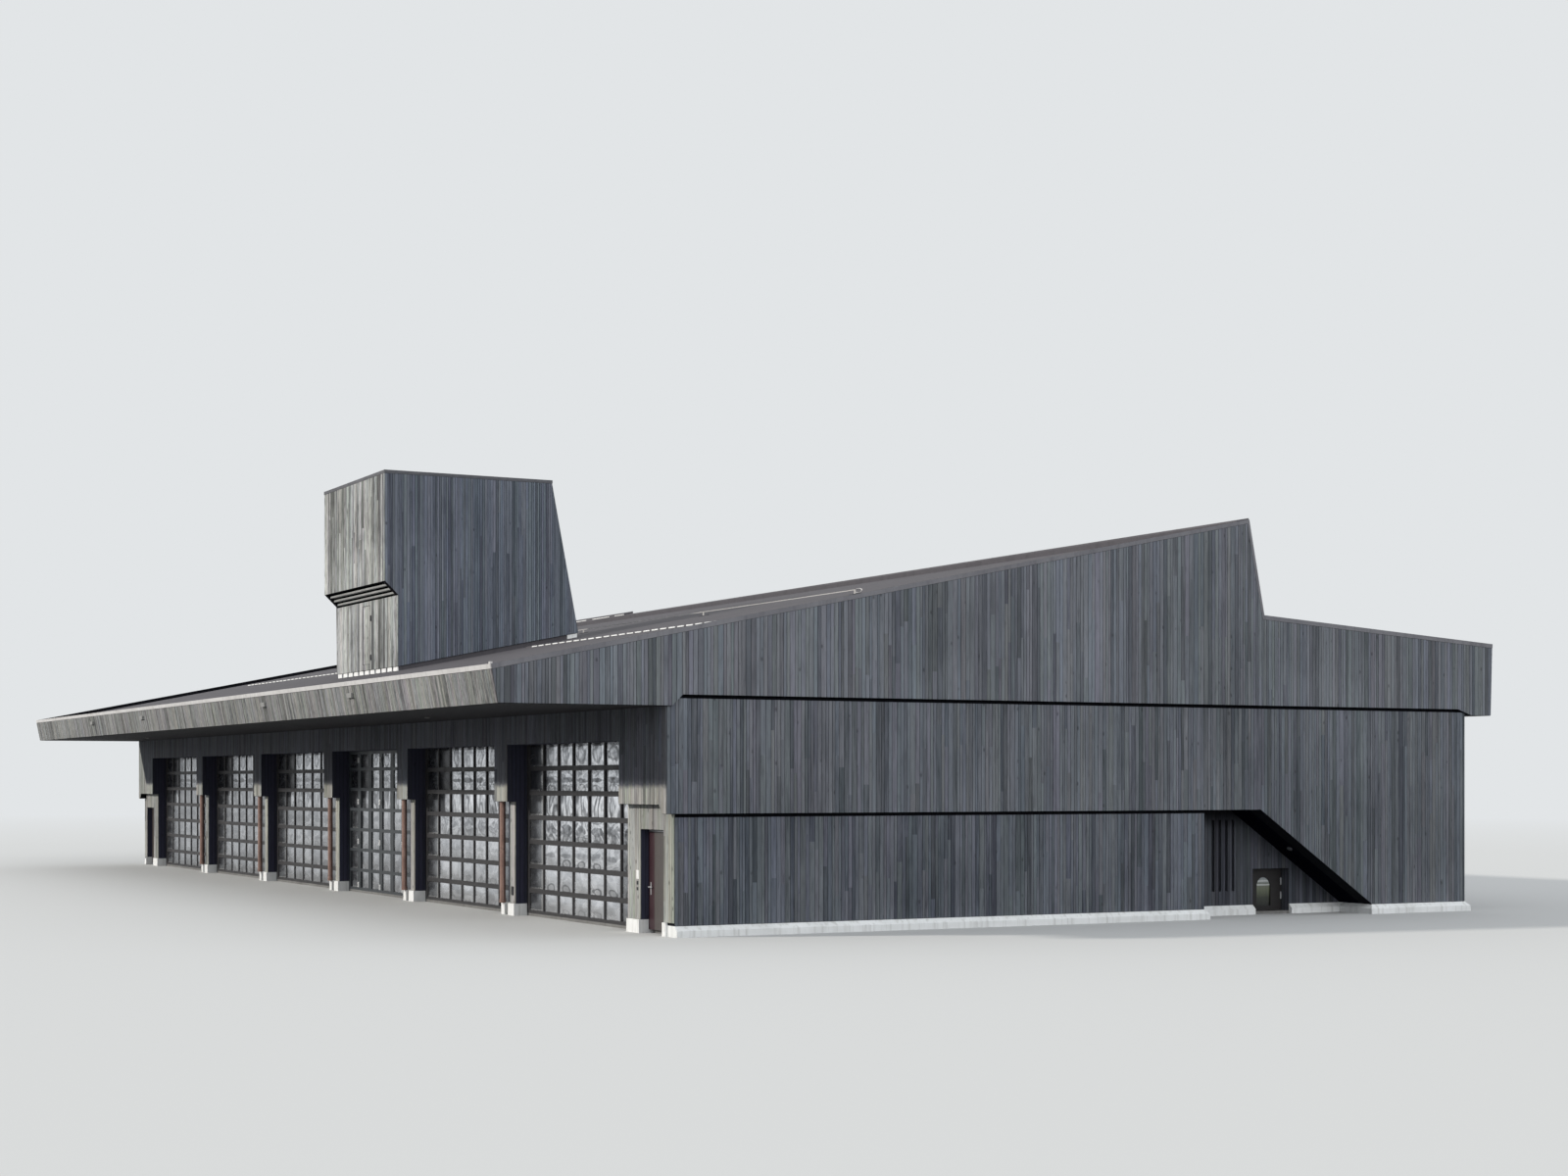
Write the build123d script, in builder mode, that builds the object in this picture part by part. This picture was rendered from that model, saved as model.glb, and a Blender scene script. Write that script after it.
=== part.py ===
"""A timber-clad fire station hall with six vehicle bays, a deep canopy and a hose tower.

X runs along the gable from the vehicle doors at the front (-X) to the rear (+X). Y runs along
the front from the near gable (-Y) to the far one (+Y). Z is up from the yard. The origin is
the middle of the hall's plan at yard level. Sizes are in millimetres.
"""

import os

from build123d import *

os.makedirs("parts", exist_ok=True)

# Hall in plan, to the outer faces of its clad walls
hall_depth = 20400
bay_widths = (5390, 5310, 4830, 5610, 5550, 5550)
pier_width = 690
near_end_width = 2010
far_end_width = 1960

# Levels above the yard
floor_level = 60
plinth_top = 210
low_lap = 2310
front_lap = 2480
bay_head = 3710
soffit_level = 4330
rear_soffit_level = 4410
high_lap = 4540
eaves_level = 5030
ridge_level = 8510
valley_level = 6480
rear_level = 6040

# Walls, and the steps between their three layers of boards
wall_thick = 400
top_skin = 60
low_step = 60
lap_gap = 60
plinth_step = 95
plinth_chamfer = 90
front_wall = 460
front_step = 200
slot_back = 330
pipe_slot = 410

# Roofs: the canopy's reach, the low roof's depth, the ridge's lean and the rear overhang
canopy_top = 3590
canopy_foot = 3450
low_roof_depth = 5960
ridge_lean = 420
rear_overhang = 800
rear_foot_overhang = 740
roof_thick = 240
roof_drop = 110
ridge_wall_thick = 330
soffit_thick = 60
fascia_thick = 80

# Slanted corners where the boards step from one level to the next
front_step_start = 90
front_step_end = 310
rear_step_start = 270
rear_step_end = 140
corner_step_start = 220
corner_step_end = 340

# Entrance niche in the near gable
niche_rear_margin = 2800
niche_slope_run = 3200
niche_flat_run = 1500
niche_depth = 1000
niche_wall = 300
niche_lining = 100
slit_count = 4
slit_width = 75
slit_pitch = 185
slit_start = 1010
slit_foot = 520
slit_head = 2080

# Doors for people
entry_width = 950
entry_head = 2000
near_entry_offset = 530
far_entry_offset = 440
entry_setback = 160
leaf_thick = 60
side_gap = 10
sill_gap = 10
niche_door_offset = 2160
niche_door_width = 1040
niche_door_head = 1000
niche_door_setback = 220
pane_width = 400
pane_margin = 190
handle_height = 820
handle_reach = 55
handle_length = 130
handle_bar = 20

# Vehicle doors
folding_bay = 2
pane_columns = 7
pane_rows = 7
door_edge = 145
door_bar = 60
door_rail = 100
rail_rise = 20
fold_columns = 6
fold_edge = 110
fold_bar = 230
fold_rail = 80
fold_rise = 60
bottom_rail = 70
door_thick = 30
door_overlap = 60
glass_thick = 20
hinge_width = 40
hinge_height = 140
hinge_reach = 40
hinge_levels = (205, 1345, 2385, 3475)

# Hose tower, as distances behind the front face
tower_offset = 14090
tower_width = 4500
tower_top = 10550
tower_rear_top = 4165
tower_rear_foot = 4910
tower_front = -330
tower_low_front = 15
tower_belt_top = 7825
tower_belt_foot = 7495
tower_wall = 160
tower_cap = 80
tower_cap_reach = 20
louvre_count = 3
louvre_depth = 120
hatch_width = 550
hatch_offset = 1950
hatch_foot = 5900
hatch_head = 7380
hatch_thick = 30
hatch_setback = 10
kerb_inset = 30
foot_plate_count = 11
foot_plate_width = 300
foot_plate_height = 100
foot_plate_thick = 25
side_plate_length = 270

# Fittings
block_top = 260
block_step = 50
wide_block = 330
narrow_block = 180
pipe_radius = 65
pipe_place = 130
pipe_inset = 125
lamp_width = 300
lamp_height = 100
lamp_depth = 60
lamp_drop = 300
lamp_offsets = (7540, 13610, 25150, 31340)
light_radius = 60
light_drop = 30
light_place = -1460
light_near_offset = 8430
light_far_offset = 6830
niche_light_run = 1300
niche_light_inset = 550
trim_height = 90
trim_thick = 20
ridge_trim = 45
cap_rise = 30
rail_thick = 20
guard_place = 2700
guard_height = 35
guard_start = 2400
guard_gap = 1700
guard_far_margin = 3960
cable_place = 7000
cable_height = 105
cable_start = 4450
cable_far_margin = 1100
bracket_count = 6
bracket_width = 60
vent_start = 28800
vent_length = 4000
vent_height = 70
plate_width = 100
plate_height = 170
plate_thick = 20
plate_level = 1040
plate_gap = 60
wall_hatch_offset = 620
wall_hatch_width = 140
wall_hatch_foot = 400
wall_hatch_head = 575

# Sizes worked out from those above
bay_count = len(bay_widths)
bays_length = sum(bay_widths) + (bay_count - 1) * pier_width
hall_length = near_end_width + bays_length + far_end_width
front = -hall_depth / 2
near = -hall_length / 2
far = hall_length / 2
valley_place = hall_depth - low_roof_depth
ridge_place = valley_place - ridge_lean
rear_top = hall_depth + rear_overhang
rear_foot = hall_depth + rear_foot_overhang
niche_end = hall_depth - niche_rear_margin
niche_turn = niche_end - niche_slope_run
niche_start = niche_turn - niche_flat_run
roof_slope = (ridge_level - eaves_level) / (ridge_place + canopy_top)
low_slope = (valley_level - rear_level) / (rear_top - valley_place)
fascia_lean = (canopy_top - canopy_foot) / (eaves_level - soffit_level)
rear_lean = (rear_top - rear_foot) / (rear_level - rear_soffit_level)
ridge_back = ridge_place - ridge_wall_thick
valley_back = valley_place - ridge_wall_thick
inner_near = near + wall_thick
inner_far = far - wall_thick
roof_length = hall_length - 2 * top_skin
tower_near = near + tower_offset
tower_far = tower_near + tower_width


def long_roof(place):
    """Level of the long roof's edges at a distance behind the front face."""
    return eaves_level + roof_slope * (place + canopy_top)


def low_roof_level(place):
    """Level of the low rear roof's edges."""
    return rear_level + low_slope * (rear_top - place)


def fascia_face(level):
    """Place of the canopy fascia's outer face at a level."""
    return -canopy_foot - fascia_lean * (level - soffit_level)


def rear_face(level):
    """Place of the rear fascia's outer face at a level."""
    return rear_foot + rear_lean * (level - rear_soffit_level)


def roof_meets_fascia(drop):
    """Where a line this far under the long roof's edge meets the fascia's inner face."""
    level = eaves_level - drop + roof_slope * canopy_top
    place = fascia_face(level) + fascia_thick
    return place / (1 + fascia_lean * roof_slope)


def roof_meets_rear(drop):
    """Where a line this far under the low roof's edge meets the rear fascia's inner face."""
    level = low_roof_level(0) - drop
    place = rear_face(level) - fascia_thick
    return place / (1 + rear_lean * low_slope)


def bay_near(bay):
    """Y of a bay's near jamb."""
    return near + near_end_width + sum(bay_widths[:bay]) + bay * pier_width


def bay_far(bay):
    """Y of a bay's far jamb."""
    return bay_near(bay) + bay_widths[bay]


def gable_plane(y):
    """Sketches on it run along X from the front face and up. Extruding by a minus goes to +Y."""
    return Plane(origin=(front, y, 0), x_dir=(1, 0, 0), z_dir=(0, -1, 0))


def front_plane(place):
    """Sketches on it run along Y and up. Extruding by a plus goes to +X."""
    return Plane(origin=(front + place, 0, 0), x_dir=(0, 1, 0), z_dir=(1, 0, 0))


def face(*points):
    """A closed outline as a face of the current sketch."""
    Polygon(*points, align=None)


def slab(x_range, y_range, z_range, mode=Mode.ADD):
    """A box between pairs of limits, its X limits measured behind the front face."""
    size = [high - low for low, high in (x_range, y_range, z_range)]
    with Locations((front + x_range[0], y_range[0], z_range[0])):
        Box(*size, align=(Align.MIN, Align.MIN, Align.MIN), mode=mode)


def save(part, name):
    """Label a finished piece and write its file."""
    part.label = name
    export_step(part, f"parts/{name}.step")


# Floor slab inside the walls, with the ground of the entrance niche left out

niche_back = near + niche_depth
niche_inside = niche_back + niche_wall

with BuildPart() as floor_slab:
    slab(
        (front_wall, hall_depth - wall_thick),
        (inner_near, inner_far),
        (0, floor_level),
    )
    slab(
        (niche_start, niche_end),
        (inner_near, niche_back),
        (0, floor_level),
        mode=Mode.SUBTRACT,
    )
save(floor_slab.part, "floor_slab")

# Concrete plinths with a sloped top edge

skin_face = near + top_skin
low_face = skin_face + low_step
niche_door_x = niche_start + niche_door_offset
niche_door_end = niche_door_x + niche_door_width


def plinth_bar(x_range, y_range, sides):
    """A straight plinth, its top edge sloped on the named sides."""
    with BuildPart() as bar:
        slab(x_range, y_range, (0, plinth_top))
        rim = bar.faces().sort_by(Axis.Z)[-1].edges()
        edges = {
            "near": rim.sort_by(Axis.Y)[0],
            "far": rim.sort_by(Axis.Y)[-1],
            "front": rim.sort_by(Axis.X)[0],
            "rear": rim.sort_by(Axis.X)[-1],
        }
        chamfer([edges[side] for side in sides], length=plinth_chamfer)
    return bar.part


low_plinth = plinth_bar(
    (front_step, niche_start + plinth_step),
    (low_face - plinth_step, inner_near),
    ("near", "rear"),
)
right_plinth = plinth_bar(
    (niche_end - plinth_step, hall_depth + plinth_step),
    (skin_face - plinth_step, inner_near),
    ("near", "front", "rear"),
)

with BuildPart() as near_plinth:
    add(low_plinth)
    add(right_plinth)
save(near_plinth.part, "near_plinth")

with BuildPart() as niche_plinth:
    strip_face = niche_back - plinth_step
    for side, door_edge_x in ((niche_start, niche_door_x), (niche_end, niche_door_end)):
        inward = plinth_step if side == niche_start else -plinth_step
        with BuildSketch(Plane.XY):
            face(
                (front + side, inner_near),
                (front + side + inward, inner_near),
                (front + side + inward, strip_face),
                (front + door_edge_x, strip_face),
                (front + door_edge_x, niche_back),
                (front + side, niche_back),
            )
        extrude(amount=plinth_top)
    for top in niche_plinth.faces().filter_by(Axis.Z).sort_by(Axis.Z)[-2:]:
        long_edges = top.edges().filter_by(Axis.X).sort_by(Axis.Y)
        deep_edges = top.edges().filter_by(Axis.Y).sort_by(Axis.X)
        chamfer([long_edges[1], deep_edges[1]], length=plinth_chamfer)
save(niche_plinth.part, "niche_plinth")

far_plinth = plinth_bar(
    (front_step, hall_depth + plinth_step),
    (inner_far, far - top_skin - low_step + plinth_step),
    ("far", "rear"),
)
save(far_plinth, "far_plinth")

rear_plinth = plinth_bar(
    (hall_depth - wall_thick, hall_depth + plinth_step),
    (inner_near, inner_far),
    ("rear",),
)
save(rear_plinth, "rear_plinth")

# Near gable: three layers of boards, each lapping over the one below with a gap under it

with BuildPart() as near_gable_low:
    slab((front_step, niche_start), (low_face, inner_near), (plinth_top, low_lap))
    slab(
        (front_step, niche_start),
        (low_face, low_face + lap_gap),
        (low_lap - lap_gap, low_lap),
        mode=Mode.SUBTRACT,
    )
save(near_gable_low.part, "near_gable_low")


def corner_step(corner, inward):
    """Outline of the front's lower lap where it cuts a gable's middle layer."""
    face(
        (corner + inward * corner_step_start, low_lap),
        (corner + inward * corner_step_end, front_lap),
        (corner + inward * wall_thick, front_lap),
        (corner + inward * wall_thick, low_lap),
    )


with BuildPart() as near_gable_middle:
    with BuildSketch(gable_plane(skin_face)):
        face(
            (0, low_lap),
            (niche_turn, low_lap),
            (niche_end, plinth_top),
            (hall_depth, plinth_top),
            (hall_depth, high_lap),
            (0, high_lap),
        )
    extrude(amount=top_skin - wall_thick)
    slab(
        (0, hall_depth),
        (skin_face, skin_face + lap_gap),
        (high_lap - lap_gap, high_lap),
        mode=Mode.SUBTRACT,
    )
    with BuildSketch(front_plane(0)):
        corner_step(near, 1)
    extrude(amount=front_step, mode=Mode.SUBTRACT)
save(near_gable_middle.part, "near_gable_middle")


def gable_top(skin_y, core_y, inward):
    """The top layer of a gable: a skin with the roof's whole outline, and the wall behind it."""
    with BuildPart() as top:
        with BuildSketch(gable_plane(skin_y)):
            face(
                (-canopy_foot, soffit_level),
                (front_step_start, soffit_level),
                (front_step_end, high_lap),
                (hall_depth - rear_step_start, high_lap),
                (hall_depth + rear_step_end, rear_soffit_level),
                (rear_foot, rear_soffit_level),
                (rear_top, rear_level),
                (valley_place, valley_level),
                (ridge_place, ridge_level),
                (-canopy_top, eaves_level),
            )
        extrude(amount=-inward * top_skin)
        with BuildSketch(gable_plane(core_y)):
            face(
                (0, high_lap),
                (hall_depth, high_lap),
                (hall_depth, low_roof_level(hall_depth) - roof_thick),
                (valley_place, valley_level - roof_thick),
                (valley_back, valley_level - roof_thick),
                (ridge_back, long_roof(ridge_back) - roof_thick),
                (0, long_roof(0) - roof_thick),
            )
        extrude(amount=-inward * (wall_thick - top_skin))
    return top.part


save(gable_top(near, skin_face, 1), "near_gable_top")

# Entrance niche: its return, its back wall in three pieces and its folded ceiling

with BuildPart() as niche_return:
    slab(
        (niche_start - niche_lining, niche_start),
        (inner_near, niche_inside),
        (floor_level, low_lap + niche_lining),
    )
save(niche_return.part, "niche_return")

niche_slope = (low_lap - plinth_top) / niche_slope_run


def niche_ceiling(place):
    """Level of the slanted ceiling over the niche."""
    return low_lap - niche_slope * max(place - niche_turn, 0)


with BuildPart() as niche_back_sides:
    with BuildSketch(gable_plane(niche_back)):
        face(
            (niche_start, floor_level),
            (niche_door_x, floor_level),
            (niche_door_x, niche_ceiling(niche_door_x)),
            (niche_turn, low_lap),
            (niche_start, low_lap),
        )
        face(
            (niche_door_end, floor_level),
            (niche_end, floor_level),
            (niche_end, plinth_top),
            (niche_door_end, niche_ceiling(niche_door_end)),
        )
        for slit in range(slit_count):
            left = niche_start + slit_start + slit * slit_pitch
            with Locations((left, slit_foot)):
                Rectangle(
                    slit_width,
                    slit_head - slit_foot,
                    align=(Align.MIN, Align.MIN),
                    mode=Mode.SUBTRACT,
                )
    extrude(amount=-niche_wall)
save(niche_back_sides.part, "niche_back_sides")

with BuildPart() as niche_back_head:
    with BuildSketch(gable_plane(niche_back)):
        face(
            (niche_door_x, niche_door_head),
            (niche_door_end, niche_door_head),
            (niche_door_end, niche_ceiling(niche_door_end)),
            (niche_door_x, niche_ceiling(niche_door_x)),
        )
    extrude(amount=-niche_wall)
save(niche_back_head.part, "niche_back_head")

with BuildPart() as niche_soffit:
    with BuildSketch(gable_plane(inner_near)):
        face(
            (niche_start, low_lap),
            (niche_turn, low_lap),
            (niche_end, plinth_top),
            (niche_end, floor_level),
            (niche_end + niche_lining, floor_level),
            (niche_end + niche_lining, plinth_top + niche_lining / 2),
            (niche_turn + niche_lining / 2, low_lap + niche_lining),
            (niche_start, low_lap + niche_lining),
        )
    extrude(amount=inner_near - niche_inside)
save(niche_soffit.part, "niche_soffit")

with BuildPart() as slit_glass:
    slits_width = (slit_count - 1) * slit_pitch + slit_width
    slits_from = niche_start + slit_start
    slab(
        (slits_from - slit_width, slits_from + slits_width + slit_width),
        (niche_inside, niche_inside + glass_thick),
        (slit_foot - slit_width, slit_head + slit_width),
    )
save(slit_glass.part, "slit_glass")

# Far gable: the same three layers, closed

far_skin_face = far - top_skin
far_low_face = far_skin_face - low_step

with BuildPart() as far_gable_low:
    slab((front_step, hall_depth), (inner_far, far_low_face), (plinth_top, low_lap))
    slab(
        (front_step, hall_depth),
        (far_low_face - lap_gap, far_low_face),
        (low_lap - lap_gap, low_lap),
        mode=Mode.SUBTRACT,
    )
save(far_gable_low.part, "far_gable_low")

with BuildPart() as far_gable_middle:
    slab((0, hall_depth), (inner_far, far_skin_face), (low_lap, high_lap))
    slab(
        (0, hall_depth),
        (far_skin_face - lap_gap, far_skin_face),
        (high_lap - lap_gap, high_lap),
        mode=Mode.SUBTRACT,
    )
    with BuildSketch(front_plane(0)):
        corner_step(far, -1)
    extrude(amount=front_step, mode=Mode.SUBTRACT)
save(far_gable_middle.part, "far_gable_middle")

save(gable_top(far, far_skin_face, -1), "far_gable_top")

# Rear wall

rear_inside = hall_depth - wall_thick

with BuildPart() as rear_wall:
    with BuildSketch(gable_plane(inner_near)):
        face(
            (rear_inside, plinth_top),
            (hall_depth, plinth_top),
            (hall_depth, low_roof_level(hall_depth) - roof_thick),
            (rear_inside, low_roof_level(rear_inside) - roof_thick),
        )
    extrude(amount=inner_near - inner_far)
save(rear_wall.part, "rear_wall")

# Front: a long wall over the bays, wide piers below it and narrower ones under their lap

with BuildPart() as front_header:
    with BuildSketch(gable_plane(inner_near)):
        face(
            (0, bay_head),
            (front_wall, bay_head),
            (front_wall, long_roof(front_wall) - roof_thick),
            (0, long_roof(0) - roof_thick),
        )
    extrude(amount=inner_near - inner_far)
save(front_header.part, "front_header")

last_jamb = bay_far(bay_count - 1)
near_entry = near + near_entry_offset
far_entry = far - far_entry_offset - entry_width
pier_starts = [bay_far(bay) for bay in range(bay_count - 1)]

with BuildPart() as upper_piers:
    slab((0, front_wall), (inner_near, bay_near(0)), (front_lap, bay_head))
    for start in pier_starts:
        slab((0, front_wall), (start, start + pier_width), (front_lap, bay_head))
    slab((0, front_wall), (last_jamb, inner_far), (front_lap, bay_head))
save(upper_piers.part, "upper_piers")

with BuildPart() as lower_piers:
    for start in pier_starts:
        end = start + pier_width
        with BuildSketch(Plane.XY.offset(block_top)):
            face(
                (front + front_step, start),
                (front + front_wall, start),
                (front + front_wall, end),
                (front + slot_back, end),
                (front + slot_back, end - pipe_slot),
                (front + front_step, end - pipe_slot),
            )
        extrude(amount=front_lap - block_top)
save(lower_piers.part, "lower_piers")

entry_side_ranges = (
    (inner_near, near_entry),
    (near_entry + entry_width, bay_near(0)),
    (last_jamb, far_entry),
    (far_entry + entry_width, inner_far),
)

with BuildPart() as entry_sides:
    for y_range in entry_side_ranges:
        slab((front_step, front_wall), y_range, (block_top, front_lap))
save(entry_sides.part, "entry_sides")

with BuildPart() as entry_heads:
    for start in (near_entry, far_entry):
        slab((front_step, front_wall), (start, start + entry_width), (entry_head, front_lap))
save(entry_heads.part, "entry_heads")

with BuildPart() as base_blocks:
    block_face = front_step - block_step
    for y_range in entry_side_ranges:
        slab((block_face, front_wall), y_range, (0, block_top))
    for start in pier_starts:
        end = start + pier_width
        slab((block_face, front_wall), (start, start + wide_block), (0, block_top))
        slab((block_face, front_wall), (end - narrow_block, end), (0, block_top))
save(base_blocks.part, "base_blocks")

# Overhangs: soffits and leaning fascias of the canopy and of the rear

with BuildPart() as roof_soffits:
    y_range = (skin_face, far_skin_face)
    slab(
        (fascia_thick - canopy_foot, 0),
        y_range,
        (soffit_level, soffit_level + soffit_thick),
    )
    slab(
        (hall_depth, rear_foot - fascia_thick),
        y_range,
        (rear_soffit_level, rear_soffit_level + soffit_thick),
    )
save(roof_soffits.part, "roof_soffits")

with BuildPart() as roof_fascias:
    with BuildSketch(gable_plane(skin_face)):
        face(
            (-canopy_foot, soffit_level),
            (fascia_thick - canopy_foot, soffit_level),
            (fascia_face(eaves_level) + fascia_thick, eaves_level),
            (-canopy_top, eaves_level),
        )
        face(
            (rear_foot - fascia_thick, rear_soffit_level),
            (rear_foot, rear_soffit_level),
            (rear_top, rear_level),
            (rear_top - fascia_thick, rear_level),
        )
    extrude(amount=-roof_length)
save(roof_fascias.part, "roof_fascias")

# Roofs: the long slope and the low rear one lie below their edges, the leaning face between

with BuildPart() as main_roof:
    with BuildSketch(gable_plane(skin_face)):
        low_start = roof_meets_fascia(roof_thick)
        top_start = roof_meets_fascia(roof_drop)
        face(
            (low_start, long_roof(low_start) - roof_thick),
            (ridge_back, long_roof(ridge_back) - roof_thick),
            (ridge_back, long_roof(ridge_back) - roof_drop),
            (top_start, long_roof(top_start) - roof_drop),
        )
    extrude(amount=-roof_length)
save(main_roof.part, "main_roof")

with BuildPart() as ridge_wall:
    with BuildSketch(gable_plane(skin_face)):
        face(
            (valley_back, valley_level - roof_thick),
            (valley_place, valley_level - roof_thick),
            (valley_place, valley_level),
            (ridge_place, ridge_level),
            (ridge_back, long_roof(ridge_back)),
            (ridge_back, long_roof(ridge_back) - roof_thick),
        )
    extrude(amount=-roof_length)
save(ridge_wall.part, "ridge_wall")

with BuildPart() as low_roof:
    with BuildSketch(gable_plane(skin_face)):
        low_end = roof_meets_rear(roof_thick)
        top_end = roof_meets_rear(roof_drop)
        face(
            (valley_place, valley_level - roof_thick),
            (low_end, low_roof_level(low_end) - roof_thick),
            (top_end, low_roof_level(top_end) - roof_drop),
            (valley_place, valley_level - roof_drop),
        )
    extrude(amount=-roof_length)
save(low_roof.part, "low_roof")

# Metal edges of the roofs

with BuildPart() as verge_trims:
    for y in (near - trim_thick, far):
        with BuildSketch(gable_plane(y)):
            face(
                (-canopy_top, eaves_level),
                (ridge_place, ridge_level),
                (valley_place, valley_level),
                (rear_top, rear_level),
                (rear_face(rear_level - trim_height), rear_level - trim_height),
                (valley_place - ridge_trim, valley_level - trim_height),
                (ridge_place - ridge_trim, ridge_level - trim_height),
                (fascia_face(eaves_level - trim_height), eaves_level - trim_height),
            )
        extrude(amount=-trim_thick)
save(verge_trims.part, "verge_trims")

with BuildPart() as eaves_trims:
    with BuildSketch(gable_plane(near)):
        front_trim_foot = fascia_face(eaves_level - trim_height)
        rear_trim_foot = rear_face(rear_level - trim_height)
        face(
            (-canopy_top, eaves_level),
            (-canopy_top - trim_thick, eaves_level),
            (front_trim_foot - trim_thick, eaves_level - trim_height),
            (front_trim_foot, eaves_level - trim_height),
        )
        face(
            (rear_top, rear_level),
            (rear_top + trim_thick, rear_level),
            (rear_trim_foot + trim_thick, rear_level - trim_height),
            (rear_trim_foot, rear_level - trim_height),
        )
    extrude(amount=-hall_length)
save(eaves_trims.part, "eaves_trims")

with BuildPart() as ridge_cap:
    with BuildSketch(gable_plane(near)):
        face(
            (ridge_back, long_roof(ridge_back)),
            (ridge_place, ridge_level),
            (ridge_place, ridge_level + cap_rise),
            (ridge_back, long_roof(ridge_back) + cap_rise),
        )
    extrude(amount=-hall_length)
save(ridge_cap.part, "ridge_cap")

with BuildPart() as ridge_vent:
    with BuildSketch(gable_plane(near + vent_start)):
        back_foot = long_roof(ridge_back) + cap_rise
        place_foot = ridge_level + cap_rise
        face(
            (ridge_back, back_foot),
            (ridge_place, place_foot),
            (ridge_place, place_foot + vent_height),
            (ridge_back, back_foot + vent_height),
        )
    extrude(amount=-vent_length)
save(ridge_vent.part, "ridge_vent")


def roof_surface(place):
    """Level of the long roof's sheet."""
    return long_roof(place) - roof_drop


def rail_outline(place, foot, top):
    """Section of a thin rail between two heights over the long roof's sheet."""
    behind = place + rail_thick
    face(
        (place, roof_surface(place) + foot),
        (behind, roof_surface(behind) + foot),
        (behind, roof_surface(behind) + top),
        (place, roof_surface(place) + top),
    )


with BuildPart() as roof_rails:
    for start, end in (
        (near + guard_start, tower_near - guard_gap),
        (tower_far + guard_gap, far - guard_far_margin),
    ):
        with BuildSketch(gable_plane(start)):
            rail_outline(guard_place, 0, guard_height)
        extrude(amount=start - end)
    cable_from = near + cable_start
    cable_to = far - cable_far_margin
    with BuildSketch(gable_plane(cable_from)):
        rail_outline(cable_place, cable_height - rail_thick, cable_height)
    extrude(amount=cable_from - cable_to)
    bracket_pitch = (cable_to - cable_from - bracket_width) / (bracket_count - 1)
    for bracket in range(bracket_count):
        with BuildSketch(gable_plane(cable_from + bracket * bracket_pitch)):
            rail_outline(cable_place, 0, cable_height - rail_thick)
        extrude(amount=-bracket_width)
save(roof_rails.part, "roof_rails")

# Hose tower on the long roof: a leaning body over a louvred belt

lean = (tower_rear_foot - tower_rear_top) / (tower_top - long_roof(tower_rear_foot))


def tower_rear(level):
    """Place of the tower's leaning rear face at a level."""
    return tower_rear_top + lean * (tower_top - level)


wall_top = tower_top - tower_cap
inner_width = tower_width - 2 * tower_wall
tower_inner = (tower_near + tower_wall, tower_far - tower_wall)
kerb_front = tower_low_front + kerb_inset
kerb_rear = tower_rear_foot - kerb_inset

with BuildPart() as tower_kerb:
    with BuildSketch(gable_plane(tower_near + kerb_inset)):
        face(
            (kerb_front, roof_surface(kerb_front)),
            (kerb_rear, roof_surface(kerb_rear)),
            (kerb_rear, long_roof(kerb_rear)),
            (kerb_front, long_roof(kerb_front)),
        )
    extrude(amount=2 * kerb_inset - tower_width)
save(tower_kerb.part, "tower_kerb")

with BuildPart() as tower_plates:
    plate_pitch = tower_width / foot_plate_count
    for plate in range(foot_plate_count):
        start = tower_near + plate_pitch * (plate + 1 / 2) - foot_plate_width / 2
        slab(
            (kerb_front - foot_plate_thick, kerb_front),
            (start, start + foot_plate_width),
            (roof_surface(kerb_front), roof_surface(kerb_front) + foot_plate_height),
        )
    with BuildSketch(gable_plane(tower_near + kerb_inset - foot_plate_thick)):
        side_start = kerb_rear - side_plate_length
        face(
            (side_start, roof_surface(side_start)),
            (kerb_rear, roof_surface(kerb_rear)),
            (kerb_rear, roof_surface(kerb_rear) + foot_plate_height),
            (side_start, roof_surface(side_start) + foot_plate_height),
        )
    extrude(amount=-foot_plate_thick)
save(tower_plates.part, "tower_plates")

with BuildPart() as tower_sides:
    for y in (tower_near, tower_far - tower_wall):
        with BuildSketch(gable_plane(y)):
            face(
                (tower_low_front, long_roof(tower_low_front)),
                (tower_rear_foot, long_roof(tower_rear_foot)),
                (tower_rear(wall_top), wall_top),
                (tower_front, wall_top),
                (tower_front, tower_belt_top),
                (tower_low_front, tower_belt_foot),
            )
        extrude(amount=-tower_wall)
save(tower_sides.part, "tower_sides")

hatch_near = tower_near + hatch_offset

with BuildPart() as tower_fronts:
    slab((tower_front, tower_front + tower_wall), tower_inner, (tower_belt_top, wall_top))
    with BuildSketch(gable_plane(tower_near + tower_wall)):
        inside = tower_low_front + tower_wall
        face(
            (tower_low_front, long_roof(tower_low_front)),
            (inside, long_roof(inside)),
            (inside, tower_belt_foot),
            (tower_low_front, tower_belt_foot),
        )
    extrude(amount=-inner_width)
    slab(
        (tower_low_front, tower_low_front + tower_wall),
        (hatch_near, hatch_near + hatch_width),
        (hatch_foot, hatch_head),
        mode=Mode.SUBTRACT,
    )
save(tower_fronts.part, "tower_fronts")

with BuildPart() as tower_hatch:
    slab(
        (tower_low_front + hatch_setback, tower_low_front + hatch_setback + hatch_thick),
        (hatch_near, hatch_near + hatch_width),
        (hatch_foot, hatch_head),
    )
save(tower_hatch.part, "tower_hatch")

# The louvred belt: upright slats step outward up the slanted underside, with equal gaps

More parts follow.
